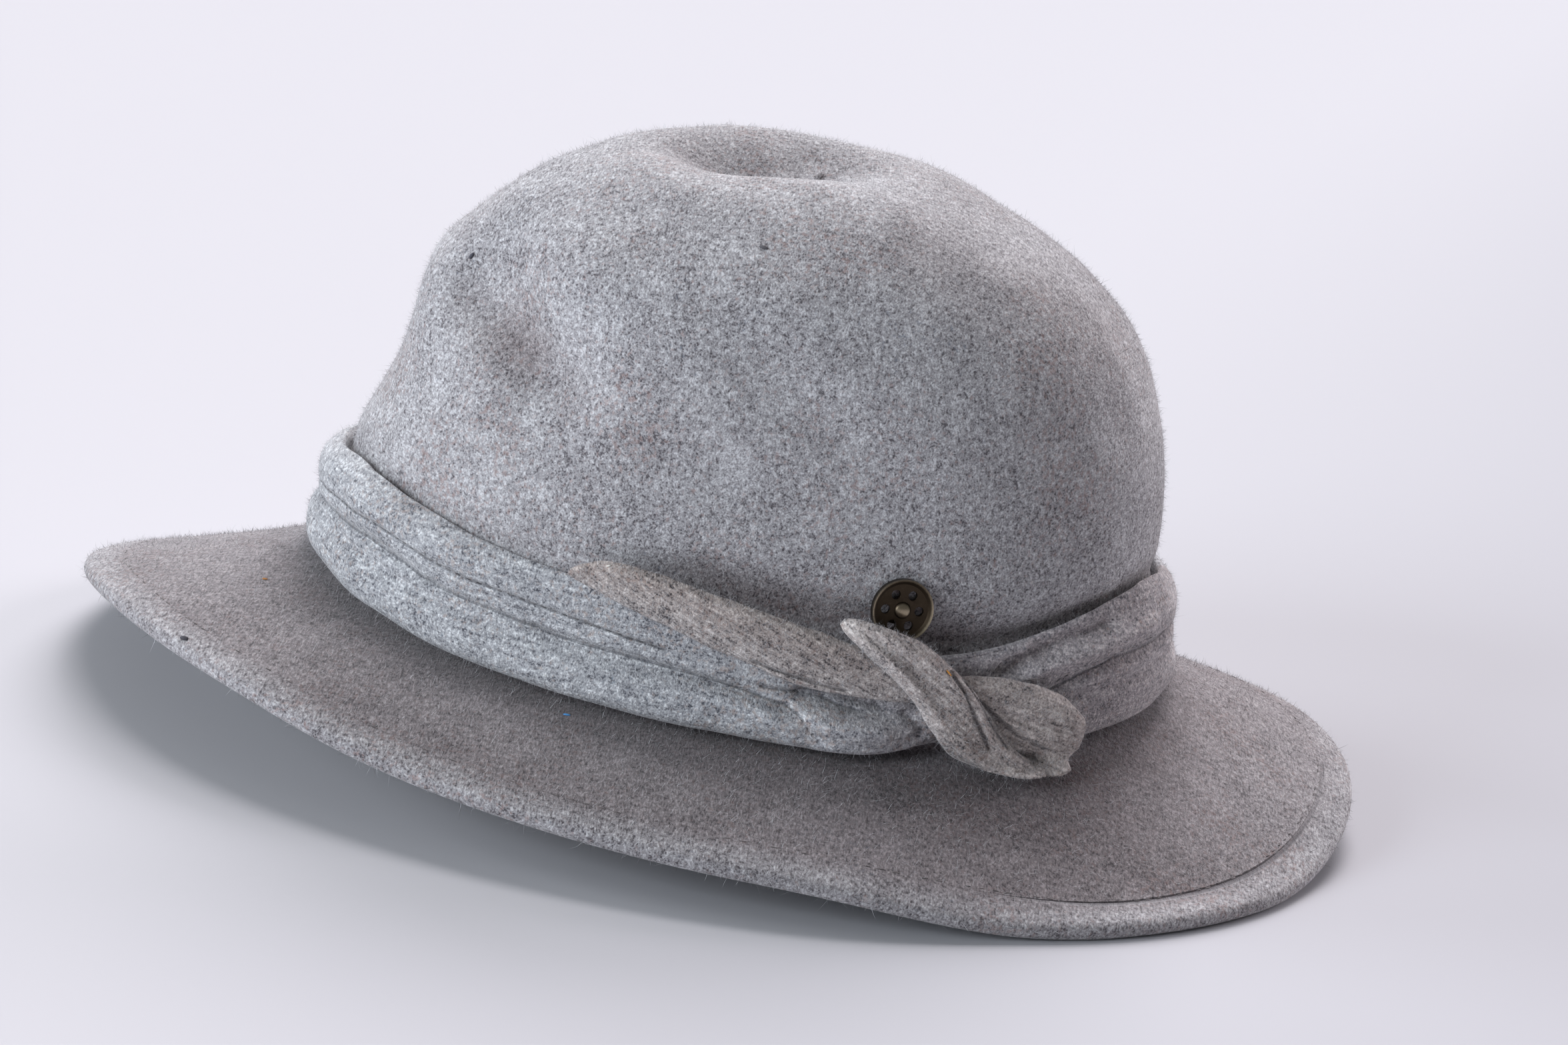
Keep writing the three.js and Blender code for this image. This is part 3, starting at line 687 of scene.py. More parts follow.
# %% Where the crown is uneven
RIPPLE_FOOT = 62  # the crown is uneven above this height, in mm
RIPPLE_RISE = 20
RIPPLES = [
    {"size": 30, "height": 1.2, "seed": 3},
    {"size": 13, "height": 0.4, "seed": 8},
]
CROWN_WAVES = [  # paths in mm, with width and depth
    {"path": [(66, -34, 96), (74, -24, 84)], "wide": 13, "deep": -1.6},
    {"path": [(56, -44, 112), (64, -22, 112)], "wide": 12, "deep": -1.4},
    {"path": [(72, -16, 112), (80, 6, 100), (84, 22, 92)], "wide": 9, "deep": 1.5},
    {"path": [(82, -22, 82), (84, 6, 78)], "wide": 9, "deep": 1.3},
    {"path": [(80, 20, 104), (80, 36, 96)], "wide": 11, "deep": -1.2},
    {"path": [(30, -70, 122), (50, -50, 120)], "wide": 9, "deep": -0.9},
    {"path": [(54, -74, 74), (66, -62, 72)], "wide": 9, "deep": -1.2},
    {"path": [(34, -72, 102), (47, -61, 97), (58, -49, 91)], "wide": 7, "deep": 3.0},
    {"path": [(29, -20, 139), (36, -8, 139)], "wide": 9, "deep": 1.2},
]
CROWN_SHADES = [  # painted shade in the pinch, the dent and high on the crown's back: paths in mm, with width and share
    {"path": [(34, -72, 102), (42, -65, 99)], "wide": 6, "share": 0.4},
    {"path": [(45, -62, 98), (53, -54, 94)], "wide": 7, "share": 0.9},
    {"path": [(58, -49, 92), (63, -40, 88)], "wide": 7, "share": 0.3},
    {"path": [(-8, -26, 132), (-8, 12, 132)], "wide": 19, "share": 0.4},
    {"path": [(46, 31, 129), (37, 55, 125), (30, 72, 116)], "wide": 13, "share": 0.35},
]
GROOVE = [  # where the band grips the crown: its height at a turn, width above it and depth
    {"turn": -180, "up": 57.0, "wide": 3.0, "deep": 1.2},
    {"turn": -90, "up": 56.2, "wide": 3.0, "deep": 1.2},
    {"turn": -30, "up": 54.2, "wide": 3.0, "deep": 1.0},
    {"turn": 0, "up": 55.5, "wide": 2.5, "deep": 0.8},
    {"turn": 20, "up": 58.8, "wide": 2.5, "deep": 0.8},
    {"turn": 50, "up": 54.8, "wide": 2.5, "deep": 0.8},
    {"turn": 62, "up": 53.6, "wide": 2.5, "deep": 0.7},
    {"turn": 70, "up": 57.0, "wide": 2.5, "deep": 0.9},
    {"turn": 77, "up": 57.2, "wide": 3.5, "deep": 2.6},
    {"turn": 84, "up": 56.0, "wide": 5.5, "deep": 4.2},
    {"turn": 92, "up": 53.5, "wide": 6.5, "deep": 4.8},
    {"turn": 104, "up": 51.5, "wide": 6.0, "deep": 4.6},
    {"turn": 118, "up": 48.0, "wide": 6.0, "deep": 4.6},
    {"turn": 134, "up": 49.5, "wide": 5.0, "deep": 3.6},
    {"turn": 146, "up": 54.5, "wide": 4.0, "deep": 2.4},
    {"turn": 156, "up": 57.5, "wide": 3.5, "deep": 1.5},
    {"turn": 166, "up": 59.0, "wide": 3.0, "deep": 1.2},
    {"turn": 180, "up": 57.0, "wide": 3.0, "deep": 1.2},
]
GROOVE_BELOW = 3.0  # its width below its bottom
GROOVE_DEEPEST = max(row["deep"] for row in GROOVE)
print("groove at most", GROOVE_DEEPEST, "mm deep")


# %% Edge and groove
def brim_edge(points):
    """A closed line through the brim's outermost point at each step round the hat."""
    turn = turn_of(points)
    reach = np.hypot(points[:, 0] - BASE_MIDDLE[0], points[:, 1] - BASE_MIDDLE[1])
    step = np.floor((turn + 180) / 360 * EDGE_STEPS).astype(int) % EDGE_STEPS
    edge = np.array([points[step == i][np.argmax(reach[step == i])] for i in range(EDGE_STEPS)])
    for _ in range(EDGE_PASSES):
        edge = (np.roll(edge, 1, axis=0) + 2 * edge + np.roll(edge, -1, axis=0)) / 4
    return np.vstack([edge, edge[:1]])


def groove_column(name, turn):
    return np.interp(turn, [row["turn"] for row in GROOVE], [row[name] for row in GROOVE])


def groove_share(points):
    """A share, 1 at the bottom of the groove and falling to 0 away from it, and each point's turn."""
    turn = turn_of(points)
    above = points[:, 2] - groove_column("up", turn)
    wide = np.where(above > 0, groove_column("wide", turn), GROOVE_BELOW)
    return np.exp(-((above / wide) ** 2)), turn


# %% Painting the brim
def distance_to_skin(points, mesh):
    """How far each point is from a mesh, in mm."""
    tree = skin_tree(mesh)
    return np.array([tree.find_nearest(Vector(point) * MM)[3] for point in points]) / MM


def painted(points, rows):
    """The share, 0 to 1, of a tone that is laid on softly along some paths."""
    fall = [(distance_to_path(points, row["path"]) / row["wide"]) ** 2 for row in rows]
    return np.max([row["share"] * np.exp(-distance) for row, distance in zip(rows, fall)], axis=0)


def at_turn(points, table, column):
    """A table's column at the turn of each point."""
    return np.interp(turn_of(points), table["turn"], table[column])


def from_hem(points):
    """How far each point is from the stitched hem line, and more where that line is faint."""
    from_line = np.abs(distance_to_path(points, edge) - HEM_LINE)
    return from_line + at_turn(points, HEM_FAINT, "less")


def paint_brim(piece):
    """Writes the tones of the brim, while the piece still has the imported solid's shape."""
    points = places(piece)
    from_edge = distance_to_path(points, edge)
    root_share = np.clip((BRIM_WIDE - from_edge) / BROWN_AND_SHADE_FADE, 0, 1)
    edge_share = np.clip((from_edge - BROWN_AND_SHADE_EDGE) / BROWN_AND_SHADE_FADE, LEAST_BROWN_AND_SHADE, 1)
    from_band = np.min([distance_to_skin(points, frame["nodes"][trim].data) for trim in TRIMS], axis=0)
    below_band = np.clip((BAND_FOOT - points[:, 2]) / FOOT_FADE, 0, 1)
    # painted shade beside the band and the knot: a soft shade, and a narrow dark line where the band
    # sits
    contact_shade = np.exp(-((from_band / at_turn(points, CONTACT_SHADE_REACH, "reach")) ** 2))
    seat = np.exp(-((from_band / SEAT_SHADE_REACH) ** 2))
    write_attribute(piece, "contact_shade", contact_shade * below_band)
    write_attribute(piece, "seat", seat * below_band)
    # the brim's browner felt and painted shade
    write_attribute(piece, "brim", root_share * edge_share * at_turn(points, BRIM_BROWN_AND_SHADE, "share"))
    write_attribute(piece, "hem", from_hem(points))


# %% Felt body
felt_hat = softened("crown_and_brim", "felt_hat", levels=2)
edge = brim_edge(places(felt_hat))
paint_brim(felt_hat)
for row in CROWN_WAVES:
    press(felt_hat, **row)
crown_share = np.clip((places(felt_hat)[:, 2] - RIPPLE_FOOT) / RIPPLE_RISE, 0, 1)
for row in RIPPLES:
    ripple(felt_hat, share=crown_share, **row)
share, turn = groove_share(places(felt_hat))
deep = groove_column("deep", turn)
# painted shade in the groove under the crown's swell, and in the pinch, the dent and the crown's back
groove_shade = share * np.clip(deep / GROOVE_DEEPEST, 0, 1)
write_attribute(felt_hat, "shade", np.maximum(groove_shade, painted(places(felt_hat), CROWN_SHADES)))
level = np.array([1, 1, 0])
grip = away_from_heart(felt_hat) * level * (share * deep)[:, None]
move_to(felt_hat, places(felt_hat) - grip)
felt_hat.data.materials.append(body_felt)
print("felt body:", len(felt_hat.data.vertices), "vertices, edge", len(edge), "points")

# %% [markdown]
# ## The folded band
#
# The band is a strip folded lengthwise: a full lower fold, a tuck, a narrow flap with a line of
# stitches, and a full upper fold. Toward the knot the cloth is gathered, so its folds run
# together and it bulges under the pointed end. Behind the knot a round roll comes out from under the
# wrap, with a hollow beside it. A cloth simulation would lay folds of its own, wherever they fell. The
# strip is steamed and stitched into these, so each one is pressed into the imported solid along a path.

# %% Folds of the band
TUCKS = [  # (turn, height) along each tuck, with its width and depth
    {
        "path": [(-178, 46), (-150, 44.5), (-90, 42), (-45, 41.5), (-15, 42.5), (8, 43.8)],
        "wide": 1.2,
        "deep": 1.3,
    },
    {"path": [(8, 43.8), (18, 44.6), (30, 44.8), (38.5, 43.1), (43, 41.4)], "wide": 1.1, "deep": 1.5},
    {"path": [(43, 41.4), (54.5, 39.9), (60, 38.8)], "wide": 1.0, "deep": 1.2},
    {
        "path": [(60, 38.8), (65, 38), (74, 37.6), (84, 36.7), (92, 35.1), (97.8, 33.5)],
        "wide": 1.1,
        "deep": 1.5,
    },
    {"path": [(97.8, 33.5), (99.8, 32.4), (101.5, 29.3), (103.1, 26.9)], "wide": 1.1, "deep": 1.3},
    {
        "path": [(100, 36.6), (103, 36.7), (106, 36.6), (109, 35.9), (112, 35.2)],
        "wide": 1.5,
        "deep": 3.0,
    },
    {
        "path": [(93.8, 36.6), (99.3, 36.4), (103.1, 35.7), (106, 34.4), (108.8, 33.9)],
        "wide": 0.6,
        "deep": 1.1,
    },
    {"path": [(138, 39.4), (144, 43), (150, 45.6), (160, 46.2), (174, 46.4)], "wide": 1.2, "deep": 1.6},
]
GATHERS = [  # the same for the small folds and bulges where the cloth is gathered
    {"path": [(101, 31.8), (104.3, 31.3), (108, 30.7), (111.8, 30)], "wide": 2.0, "deep": -1.5},
    {"path": [(103, 26.4), (108, 25.8), (112, 25.6), (115.5, 27.4)], "wide": 2.2, "deep": -1.5},
    {"path": [(115.8, 33.8), (118.1, 31.4), (117, 29.2), (114.9, 27.8)], "wide": 1.2, "deep": 1.4},
    {"path": [(88, 30), (93, 29), (97, 26.5)], "wide": 1.3, "deep": 0.8},
    {"path": [(95, 31.5), (98, 29.5), (99.5, 26.5)], "wide": 1.0, "deep": -0.6},
    {"path": [(62, 29), (74, 28), (86, 26.5)], "wide": 2.5, "deep": -0.6},
    {"path": [(26, 52), (40, 51), (56, 48)], "wide": 3.0, "deep": -0.7},
    {"path": [(131, 45), (135, 48.2), (141, 50.6), (149, 53)], "wide": 1.6, "deep": 2.4},
    {"path": [(129.5, 43.5), (132.5, 45.5)], "wide": 2.2, "deep": 2.4},
    {"path": [(123, 47.5), (128, 48.6), (133, 50)], "wide": 2.4, "deep": -1.5},
    {"path": [(134, 44), (139, 47), (149, 50.6), (159, 53)], "wide": 1.7, "deep": -1.6},
    {"path": [(139, 41.5), (146, 45.6), (158, 48)], "wide": 0.7, "deep": 0.9},
    {"path": [(140, 36), (150, 38), (164, 38.5)], "wide": 3.0, "deep": -0.6},
]
LIT_FOLDS = [  # raised folds painted pale, a painted highlight where they stand up to the light
    {"path": [(101.5, 32), (104.3, 31.3), (108, 30.7), (111.8, 30)], "wide": 1.8, "share": 0.6},
    {"path": [(86, 31), (95, 30), (100, 27)], "wide": 2.5, "share": 0.35},
    {"path": [(103, 26.2), (108, 25.6), (112, 25.6), (116, 27.6)], "wide": 2.0, "share": 0.7},
]
BAND_SEAM = {  # the stitched line of the flap
    "path": [
        (10, 47.6), (21, 49), (31.5, 49.2), (38, 48), (44, 46.4),
        (50, 45.4), (56, 44.8), (67, 43.1), (80, 40.8),
    ],
    "wide": 0.6,
    "deep": 0.6,
}
BAND_SHADE = {"turn": (0, 96, 122, 150, 176), "share": (0, 0, 0.75, 1, 0.8)}  # painted shade, darker and browner behind the knot
print("folds:", len(TUCKS), "tucks and", len(GATHERS), "gathers")

# %% Folding the band
folded_band = softened("hat_band", "folded_band", levels=3)
flat = unrolled(places(folded_band))
write_attribute(folded_band, "along", flat[:, 0])
write_attribute(folded_band, "across", flat[:, 1])
# painted shade on the band behind the knot
write_attribute(folded_band, "shade", at_turn(places(folded_band), BAND_SHADE, "share"))
# the line of painted shade in each tuck, and the seam's stitched line
write_attribute(folded_band, "tuck", nearest_path(flat, [*TUCKS, BAND_SEAM]))
lit_fold_rows = [{**row, "path": on_map(row["path"])} for row in LIT_FOLDS]
# a painted highlight on the raised folds
write_attribute(folded_band, "wear_and_highlight", painted(flat, lit_fold_rows))
ripple(folded_band, size=16, height=0.5, seed=5)
for row in [*TUCKS, *GATHERS, BAND_SEAM]:
    fold(folded_band, **row)
folded_band.data.materials.append(band_felt)
print("band:", len(folded_band.data.vertices), "vertices")

# %% [markdown]
# ## The knot
#
# The strip ends in a loose half knot: a pointed end lies forward over the band, a turn wraps it, and
# a blunt end comes out behind. Each is a layer of felt laid on the crown's wall. It is lofted from
# rows that run across it, each given by the turn and height of its two edges, how far its back stands
# off the wall and how thick it is. A face says how full the layer is from its low to its high
# edge, so the pointed end can be thin where it lies flush on the band and thick at its top. A flat
# strip could be bent and tied by simulation, but its ends would not come to rest where these lie.

# %% Reading the wall
KNOT_PLACE = (115, 42)  # the middle of the knot as a turn and a height
CROWN_TREE = skin_tree(frame["nodes"]["crown_and_brim"].data)


def eased(values, count):
    """A list of numbers as a smooth curve with the given count of values (Catmull-Rom)."""
    padded = np.concatenate([[2 * values[0] - values[1]], values, [2 * values[-1] - values[-2]]])
    spot = np.linspace(0, len(values) - 1, count)
    first = np.minimum(spot.astype(int), len(values) - 2)
    share = spot - first
    a, b, c, d = (padded[first + step] for step in range(4))
    bend = (2 * a - 5 * b + 4 * c - d) * share + (3 * b - a - 3 * c + d) * share**2
    return 0.5 * (2 * b + (c - a) * share + bend * share)


def wall_reach(turns, heights):
    """How far the crown's wall is from the hat's axis at each turn and height, in mm."""
    reach = []
    for turn, height in zip(turns, heights):
        place, _, _ = skin_at(CROWN_TREE, turn, height)
        reach.append((place - HAT_MIDDLE).to_2d().length / MM)
    return np.array(reach)


knot_reach = wall_reach(KNOT_PLACE[:1], KNOT_PLACE[1:])
print("the wall stands", knot_reach.round(1)[0], "mm from the hat's middle behind the knot")

# %% Lofting a layer
ACROSS = 44  # points across a layer's front
BACK = 14  # points across its back
FACE_STEPS = 41  # a face is read this finely, and its corners are then blurred
FACE_BLUR = (0.25, 0.5, 0.25)


def layer_ring(low, high, off, thick, face):
    """One row of a layer: its front from the low to the high edge, then its back."""
    front = np.linspace(0, 1, ACROSS)
    back = np.linspace(1, 0, BACK + 2)[1:-1]
    levels = np.concatenate([front, back])
    full = np.concatenate([np.interp(front, face[0], face[1]), np.zeros(BACK)])
    turns = low[0] + (high[0] - low[0]) * levels
    heights = low[1] + (high[1] - low[1]) * levels
    reach = wall_reach(turns, heights) + off + thick * full
    round_hat = np.radians(turns)
    x = BASE_MIDDLE[0] + np.sin(round_hat) * reach
    y = BASE_MIDDLE[1] - np.cos(round_hat) * reach
    return np.column_stack([x, y, heights])


def layer_rings(rows, face, along):
    """The rings of a layer, from its rows and its face."""
    def column(key, *index):
        values = [row[key][index[0]] if index else row[key] for row in rows]
        return eased(np.array(values, float), along)

    fine = np.linspace(0, 1, FACE_STEPS)
    full = np.interp(fine, [level for level, _ in face], [value for _, value in face])
    full = np.convolve(np.pad(full, 1, mode="edge"), FACE_BLUR, mode="valid")
    lows = zip(column("low", 0), column("low", 1))
    highs = zip(column("high", 0), column("high", 1))
    table = zip(lows, highs, column("off"), column("thick"))
    return [layer_ring(low, high, off, thick, (fine, full)) for low, high, off, thick in table]


# %% A closed layer
HOLLOW_RINGS = [  # rings that close a hollow end: their width and depth as shares
    {"width": 0.8, "depth": -0.12},
    {"width": 0.6, "depth": 0.0},
    {"width": 0.5, "depth": 0.5},
    {"width": 0.35, "depth": 0.9},
    {"width": 0.1, "depth": 1.0},
]
INWARD_FROM = -4  # the way into a hollow end is from the last ring to this one


def hollow_rings(rings, deep):
    """Rings that turn in at a layer's last end, as at the mouth of a rolled piece of felt."""
    last, before = rings[-1], rings[INWARD_FROM]
    heart = last.mean(axis=0)
    inward = (before.mean(axis=0) - heart) / np.linalg.norm(before.mean(axis=0) - heart)
    return [heart + (last - heart) * row["width"] + inward * deep * row["depth"] for row in HOLLOW_RINGS]


def layer(name, rows, face, along, hollow_end=0.0):
    """A closed layer from its rows. Its last end may be hollow, this deep in mm."""
    rings = layer_rings(rows, face, along)
    if hollow_end:
        rings += hollow_rings(rings, hollow_end)
    around = ACROSS + BACK
    faces = []
    for i in range(len(rings) - 1):
        for j in range(around):
            k = (j + 1) % around
            faces.append((i * around + j, i * around + k, (i + 1) * around + k, (i + 1) * around + j))
    faces.append(tuple(range(around)))
    faces.append(tuple(range((len(rings) - 1) * around, len(rings) * around)))
    mesh = bpy.data.meshes.new(name)
    mesh.from_pydata((np.vstack(rings) * MM).tolist(), [], faces)
    piece = new_piece(name, mesh)
    only(piece)
    bpy.ops.object.mode_set(mode="EDIT")
    bpy.ops.mesh.select_all(action="SELECT")
    bpy.ops.mesh.normals_make_consistent(inside=False)
    bpy.ops.object.mode_set(mode="OBJECT")
    bpy.ops.object.shade_smooth()
    return piece


# %% The pointed end
TAIL_FACE = [  # (level from the low to the high edge, share of the thickness)
    (0, 0.12), (0.06, 0.34), (0.2, 0.5), (0.4, 0.72),
    (0.62, 0.92), (0.8, 1), (0.92, 0.86), (1, 0.3),
]
TAIL_ROWS = [
    {"low": (64.6, 53.4), "high": (65.0, 54.8), "off": 5.4, "thick": 0.8},
    {"low": (66.6, 52.0), "high": (67.2, 57.0), "off": 4.8, "thick": 2.0},
    {"low": (70.5, 50.4), "high": (71.0, 58.6), "off": 4.5, "thick": 2.8},
    {"low": (76.5, 48.0), "high": (76.5, 58.0), "off": 4.3, "thick": 3.4},
    {"low": (83.0, 45.2), "high": (82.5, 56.8), "off": 4.2, "thick": 3.7},
    {"low": (89.0, 42.8), "high": (88.5, 55.3), "off": 4.2, "thick": 3.9},
    {"low": (95.0, 40.4), "high": (94.5, 53.4), "off": 4.2, "thick": 3.9},
    {"low": (100, 38.4), "high": (99.5, 51.8), "off": 4.2, "thick": 3.8},
    {"low": (105, 37.7), "high": (104.5, 50.0), "off": 4.2, "thick": 3.4},
    {"low": (109.5, 37.2), "high": (109.5, 48.4), "off": 4.2, "thick": 3.0},
    {"low": (113, 37.0), "high": (113, 46.4), "off": 4.2, "thick": 2.6},
    {"low": (116, 37.2), "high": (116, 44.4), "off": 4.2, "thick": 1.8},
]
TAIL_FOLDS = [
    {"path": [(92, 42.6), (98, 40.8), (103, 39.4), (106, 38.6)], "wide": 0.5, "deep": 0.8},
    {"path": [(97, 44.4), (101, 43.2), (104, 42)], "wide": 0.5, "deep": 0.5},
    {"path": [(84, 49.5), (92, 46.6), (100, 44)], "wide": 1.2, "deep": 0.4},
    {"path": [(76, 54), (86, 51), (94, 48)], "wide": 1.4, "deep": 0.4},
]
pointed_end = layer("pointed_end", TAIL_ROWS, TAIL_FACE, along=150)
for row in TAIL_FOLDS:
    fold(pointed_end, **row)
print("pointed end:", len(pointed_end.data.vertices), "vertices")

# %% The wrap
WRAP_FACE = [
    (0, 0.1), (0.05, 0.4), (0.12, 0.72), (0.2, 0.97), (0.28, 1.0), (0.4, 0.9), (0.52, 0.84),
    (0.64, 0.9), (0.74, 1.0), (0.8, 0.95), (0.86, 0.76), (0.92, 0.7), (0.97, 0.55), (1, 0.2),
]
WRAP_ROWS = [
    {"low": (103.6, 53.6), "high": (104.2, 54.8), "off": 4.6, "thick": 1.2},
    {"low": (104.2, 52.0), "high": (106.6, 55.4), "off": 6.4, "thick": 3.0},
    {"low": (106.2, 49.6), "high": (110.2, 54.6), "off": 7.8, "thick": 4.0},
    {"low": (109.2, 46.0), "high": (114.4, 52.4), "off": 8.3, "thick": 4.5},
    {"low": (112.2, 42.2), "high": (117.8, 48.8), "off": 8.3, "thick": 4.7},
    {"low": (115.0, 37.8), "high": (120.8, 45.0), "off": 8.3, "thick": 4.8},
    {"low": (117.4, 33.2), "high": (123.4, 40.8), "off": 8.3, "thick": 4.8},
    {"low": (119.4, 29.6), "high": (125.6, 36.6), "off": 8.4, "thick": 4.7},
    {"low": (121.4, 26.6), "high": (127.6, 32.6), "off": 8.5, "thick": 4.4},
    {"low": (124.2, 24.7), "high": (129.6, 29.4), "off": 8.6, "thick": 4.1},
    {"low": (127.8, 23.8), "high": (131.4, 27.4), "off": 8.6, "thick": 3.7},
    {"low": (131.2, 23.4), "high": (132.8, 26.0), "off": 8.4, "thick": 2.8},
    {"low": (133.4, 23.5), "high": (133.8, 24.8), "off": 8.2, "thick": 1.6},
]
WRAP_FOLDS = [
    {"path": [(118.6, 46.5), (120.3, 43.0), (122.3, 37.6), (125.6, 29.4)], "wide": 0.55, "deep": 1.4},
    {"path": [(120.4, 46.0), (122.3, 41.8), (125.0, 36.6), (128.4, 29.6)], "wide": 0.5, "deep": 1.2},
    {"path": [(107.5, 52.6), (112.5, 47.6), (116.5, 40.5), (119.5, 33.5)], "wide": 1.4, "deep": 0.8},
    {"path": [(105.5, 53.0), (109.6, 48.9), (114.0, 41.9), (118.0, 33.5)], "wide": 1.3, "deep": -0.6},
]
wrap = layer("wrap", WRAP_ROWS, WRAP_FACE, along=160)
for row in WRAP_FOLDS:
    fold(wrap, **row)
print("wrap:", len(wrap.data.vertices), "vertices")

# %% The blunt end
BLUNT_FACE = [
    (0, 0.25), (0.06, 0.6), (0.14, 0.8), (0.3, 0.9), (0.5, 1),
    (0.75, 1), (0.9, 0.82), (0.97, 0.5), (1, 0.2),
]
BLUNT_ROWS = [
    {"low": (117.5, 35.0), "high": (117.5, 42.3), "off": 4.4, "thick": 2.8},
    {"low": (120.2, 32.0), "high": (120.2, 43.4), "off": 4.4, "thick": 3.2},
    {"low": (123.6, 29.0), "high": (123.6, 44.1), "off": 4.4, "thick": 3.5},
    {"low": (127.4, 25.6), "high": (127.6, 44.1), "off": 4.8, "thick": 4.4},
    {"low": (131.2, 23.9), "high": (131.6, 43.2), "off": 5.6, "thick": 5.0},
    {"low": (134.8, 23.4), "high": (135.6, 41.5), "off": 6.4, "thick": 5.4},
    {"low": (137.9, 24.2), "high": (138.8, 38.9), "off": 7.0, "thick": 5.2},
    {"low": (140.6, 26.4), "high": (140.8, 36.2), "off": 7.3, "thick": 4.4},
]
BLUNT_LAPS = [
    {
        "path": [(122, 41), (125, 38.8), (128.6, 34), (131, 31.4), (134, 29.2), (135.6, 28.2)],
        "wide": 2.4,
        "deep": 2.0,
    },
]
BLUNT_FOLDS = [
    {"path": [(131.5, 26.6), (133.4, 25.9), (134.8, 25.7)], "wide": 1.1, "deep": 2.8},
    {"path": [(128, 37), (132, 34.6), (137, 33)], "wide": 0.8, "deep": 0.7},
    {"path": [(129.5, 25.0), (133, 24.4), (138, 24.4)], "wide": 1.1, "deep": -0.8},
]
blunt_end = layer("blunt_end", BLUNT_ROWS, BLUNT_FACE, along=110, hollow_end=3.0)
for row in BLUNT_LAPS:
    lap(blunt_end, **row)
for row in BLUNT_FOLDS:
    fold(blunt_end, **row)
print("blunt end:", len(blunt_end.data.vertices), "vertices")

# %% Finishing the knot
TAIL_SHADE_RAMP = {"level": (0.15, 0.75), "share": (0, 0.55)}  # painted shade, darker and browner at the pointed end's upper edge
# the wrap's left ridge, painted pale: a painted highlight where it faces the light
LIT_RIDGE = [(106.3, 51.3), (110.4, 45.9), (113.7, 40.2), (116.6, 34.4), (118.9, 29.9)]
LIT_RIDGE_WIDE = 1.8
KNOT = {  # how steeply the fibres of each layer run, its painted shade and painted highlight, and its creases
    "pointed_end": {
        "piece": pointed_end, "slope": -24, "shade": None, "wear_and_highlight": 0, "creases": TAIL_FOLDS[:1],
    },
    "wrap": {
        "piece": wrap, "slope": -38, "shade": 0.3, "wear_and_highlight": 0.8, "creases": WRAP_FOLDS[:2],
    },
    "blunt_end": {
        "piece": blunt_end, "slope": -20, "shade": 0.4, "wear_and_highlight": 0,
        "creases": BLUNT_LAPS + BLUNT_FOLDS[:1],
    },
}


def tail_shade(flat):
    """How much painted shade, darker and browner, the pointed end has from its low to its high edge."""
    above = height_over_path(flat, on_map([row["low"] for row in TAIL_ROWS]))
    below = -height_over_path(flat, on_map([row["high"] for row in TAIL_ROWS]))
    level = above / np.maximum(above + below, 1)
    return np.interp(level, TAIL_SHADE_RAMP["level"], TAIL_SHADE_RAMP["share"])


def finish_layer(piece, slope, shade, wear_and_highlight, creases):
    flat = unrolled(places(piece))
    ahead, up = math.cos(math.radians(slope)), math.sin(math.radians(slope))
    ridge = np.exp(-((distance_to_path(flat, on_map(LIT_RIDGE)) / LIT_RIDGE_WIDE) ** 2))
    write_attribute(piece, "along", flat[:, 0] * ahead + flat[:, 1] * up)
    write_attribute(piece, "across", flat[:, 1] * ahead - flat[:, 0] * up)
    # painted shade along the creases
    write_attribute(piece, "crease", nearest_path(flat, creases))
    # painted shade over the layer, and a painted highlight on the wrap's ridge
    write_attribute(piece, "shade", tail_shade(flat) if shade is None else np.full(len(flat), shade))
    write_attribute(piece, "wear_and_highlight", ridge * wear_and_highlight)
    ripple(piece, size=6, height=0.35, seed=11)
    piece.data.materials.append(knot_felt)


for row in KNOT.values():
    finish_layer(**row)
print("knot:", list(KNOT))

# %% [markdown]
# ## Stitches
#
# The flap of the band is sewn with small dark stitches that sink into the felt, and the brim's hem
# is held by a line of thread the colour of the felt, which shows only here and there. A bevelled
# curve would be one endless cord. One stitch is modelled as a spindle instead and copied along each
# line, set on the skin that it is found on, so that each has its own length and direction.

# %% One stitch and its copies
STITCH_SPREAD = (0.75, 1.2)  # hand stitches are not all of one length


def stitch_shape():
    """The corners and faces of a spindle one unit long along X and one unit thick."""
    bpy.ops.object.select_all(action="DESELECT")
    bpy.ops.mesh.primitive_uv_sphere_add(segments=6, ring_count=4, radius=0.5)
    spindle = bpy.context.object
    bpy.ops.object.mode_set(mode="EDIT")
    bpy.ops.mesh.select_all(action="SELECT")
    bpy.ops.transform.rotate(value=math.pi / 2, orient_axis="Y", center_override=(0, 0, 0))
    bpy.ops.object.mode_set(mode="OBJECT")
    corners = np.array([tuple(vertex.co) for vertex in spindle.data.vertices])
    faces = [tuple(face.vertices) for face in spindle.data.polygons]
    bpy.data.objects.remove(spindle)
    return corners, faces


STITCH_CORNERS, STITCH_FACES = stitch_shape()
print("one stitch:", len(STITCH_FACES), "faces")


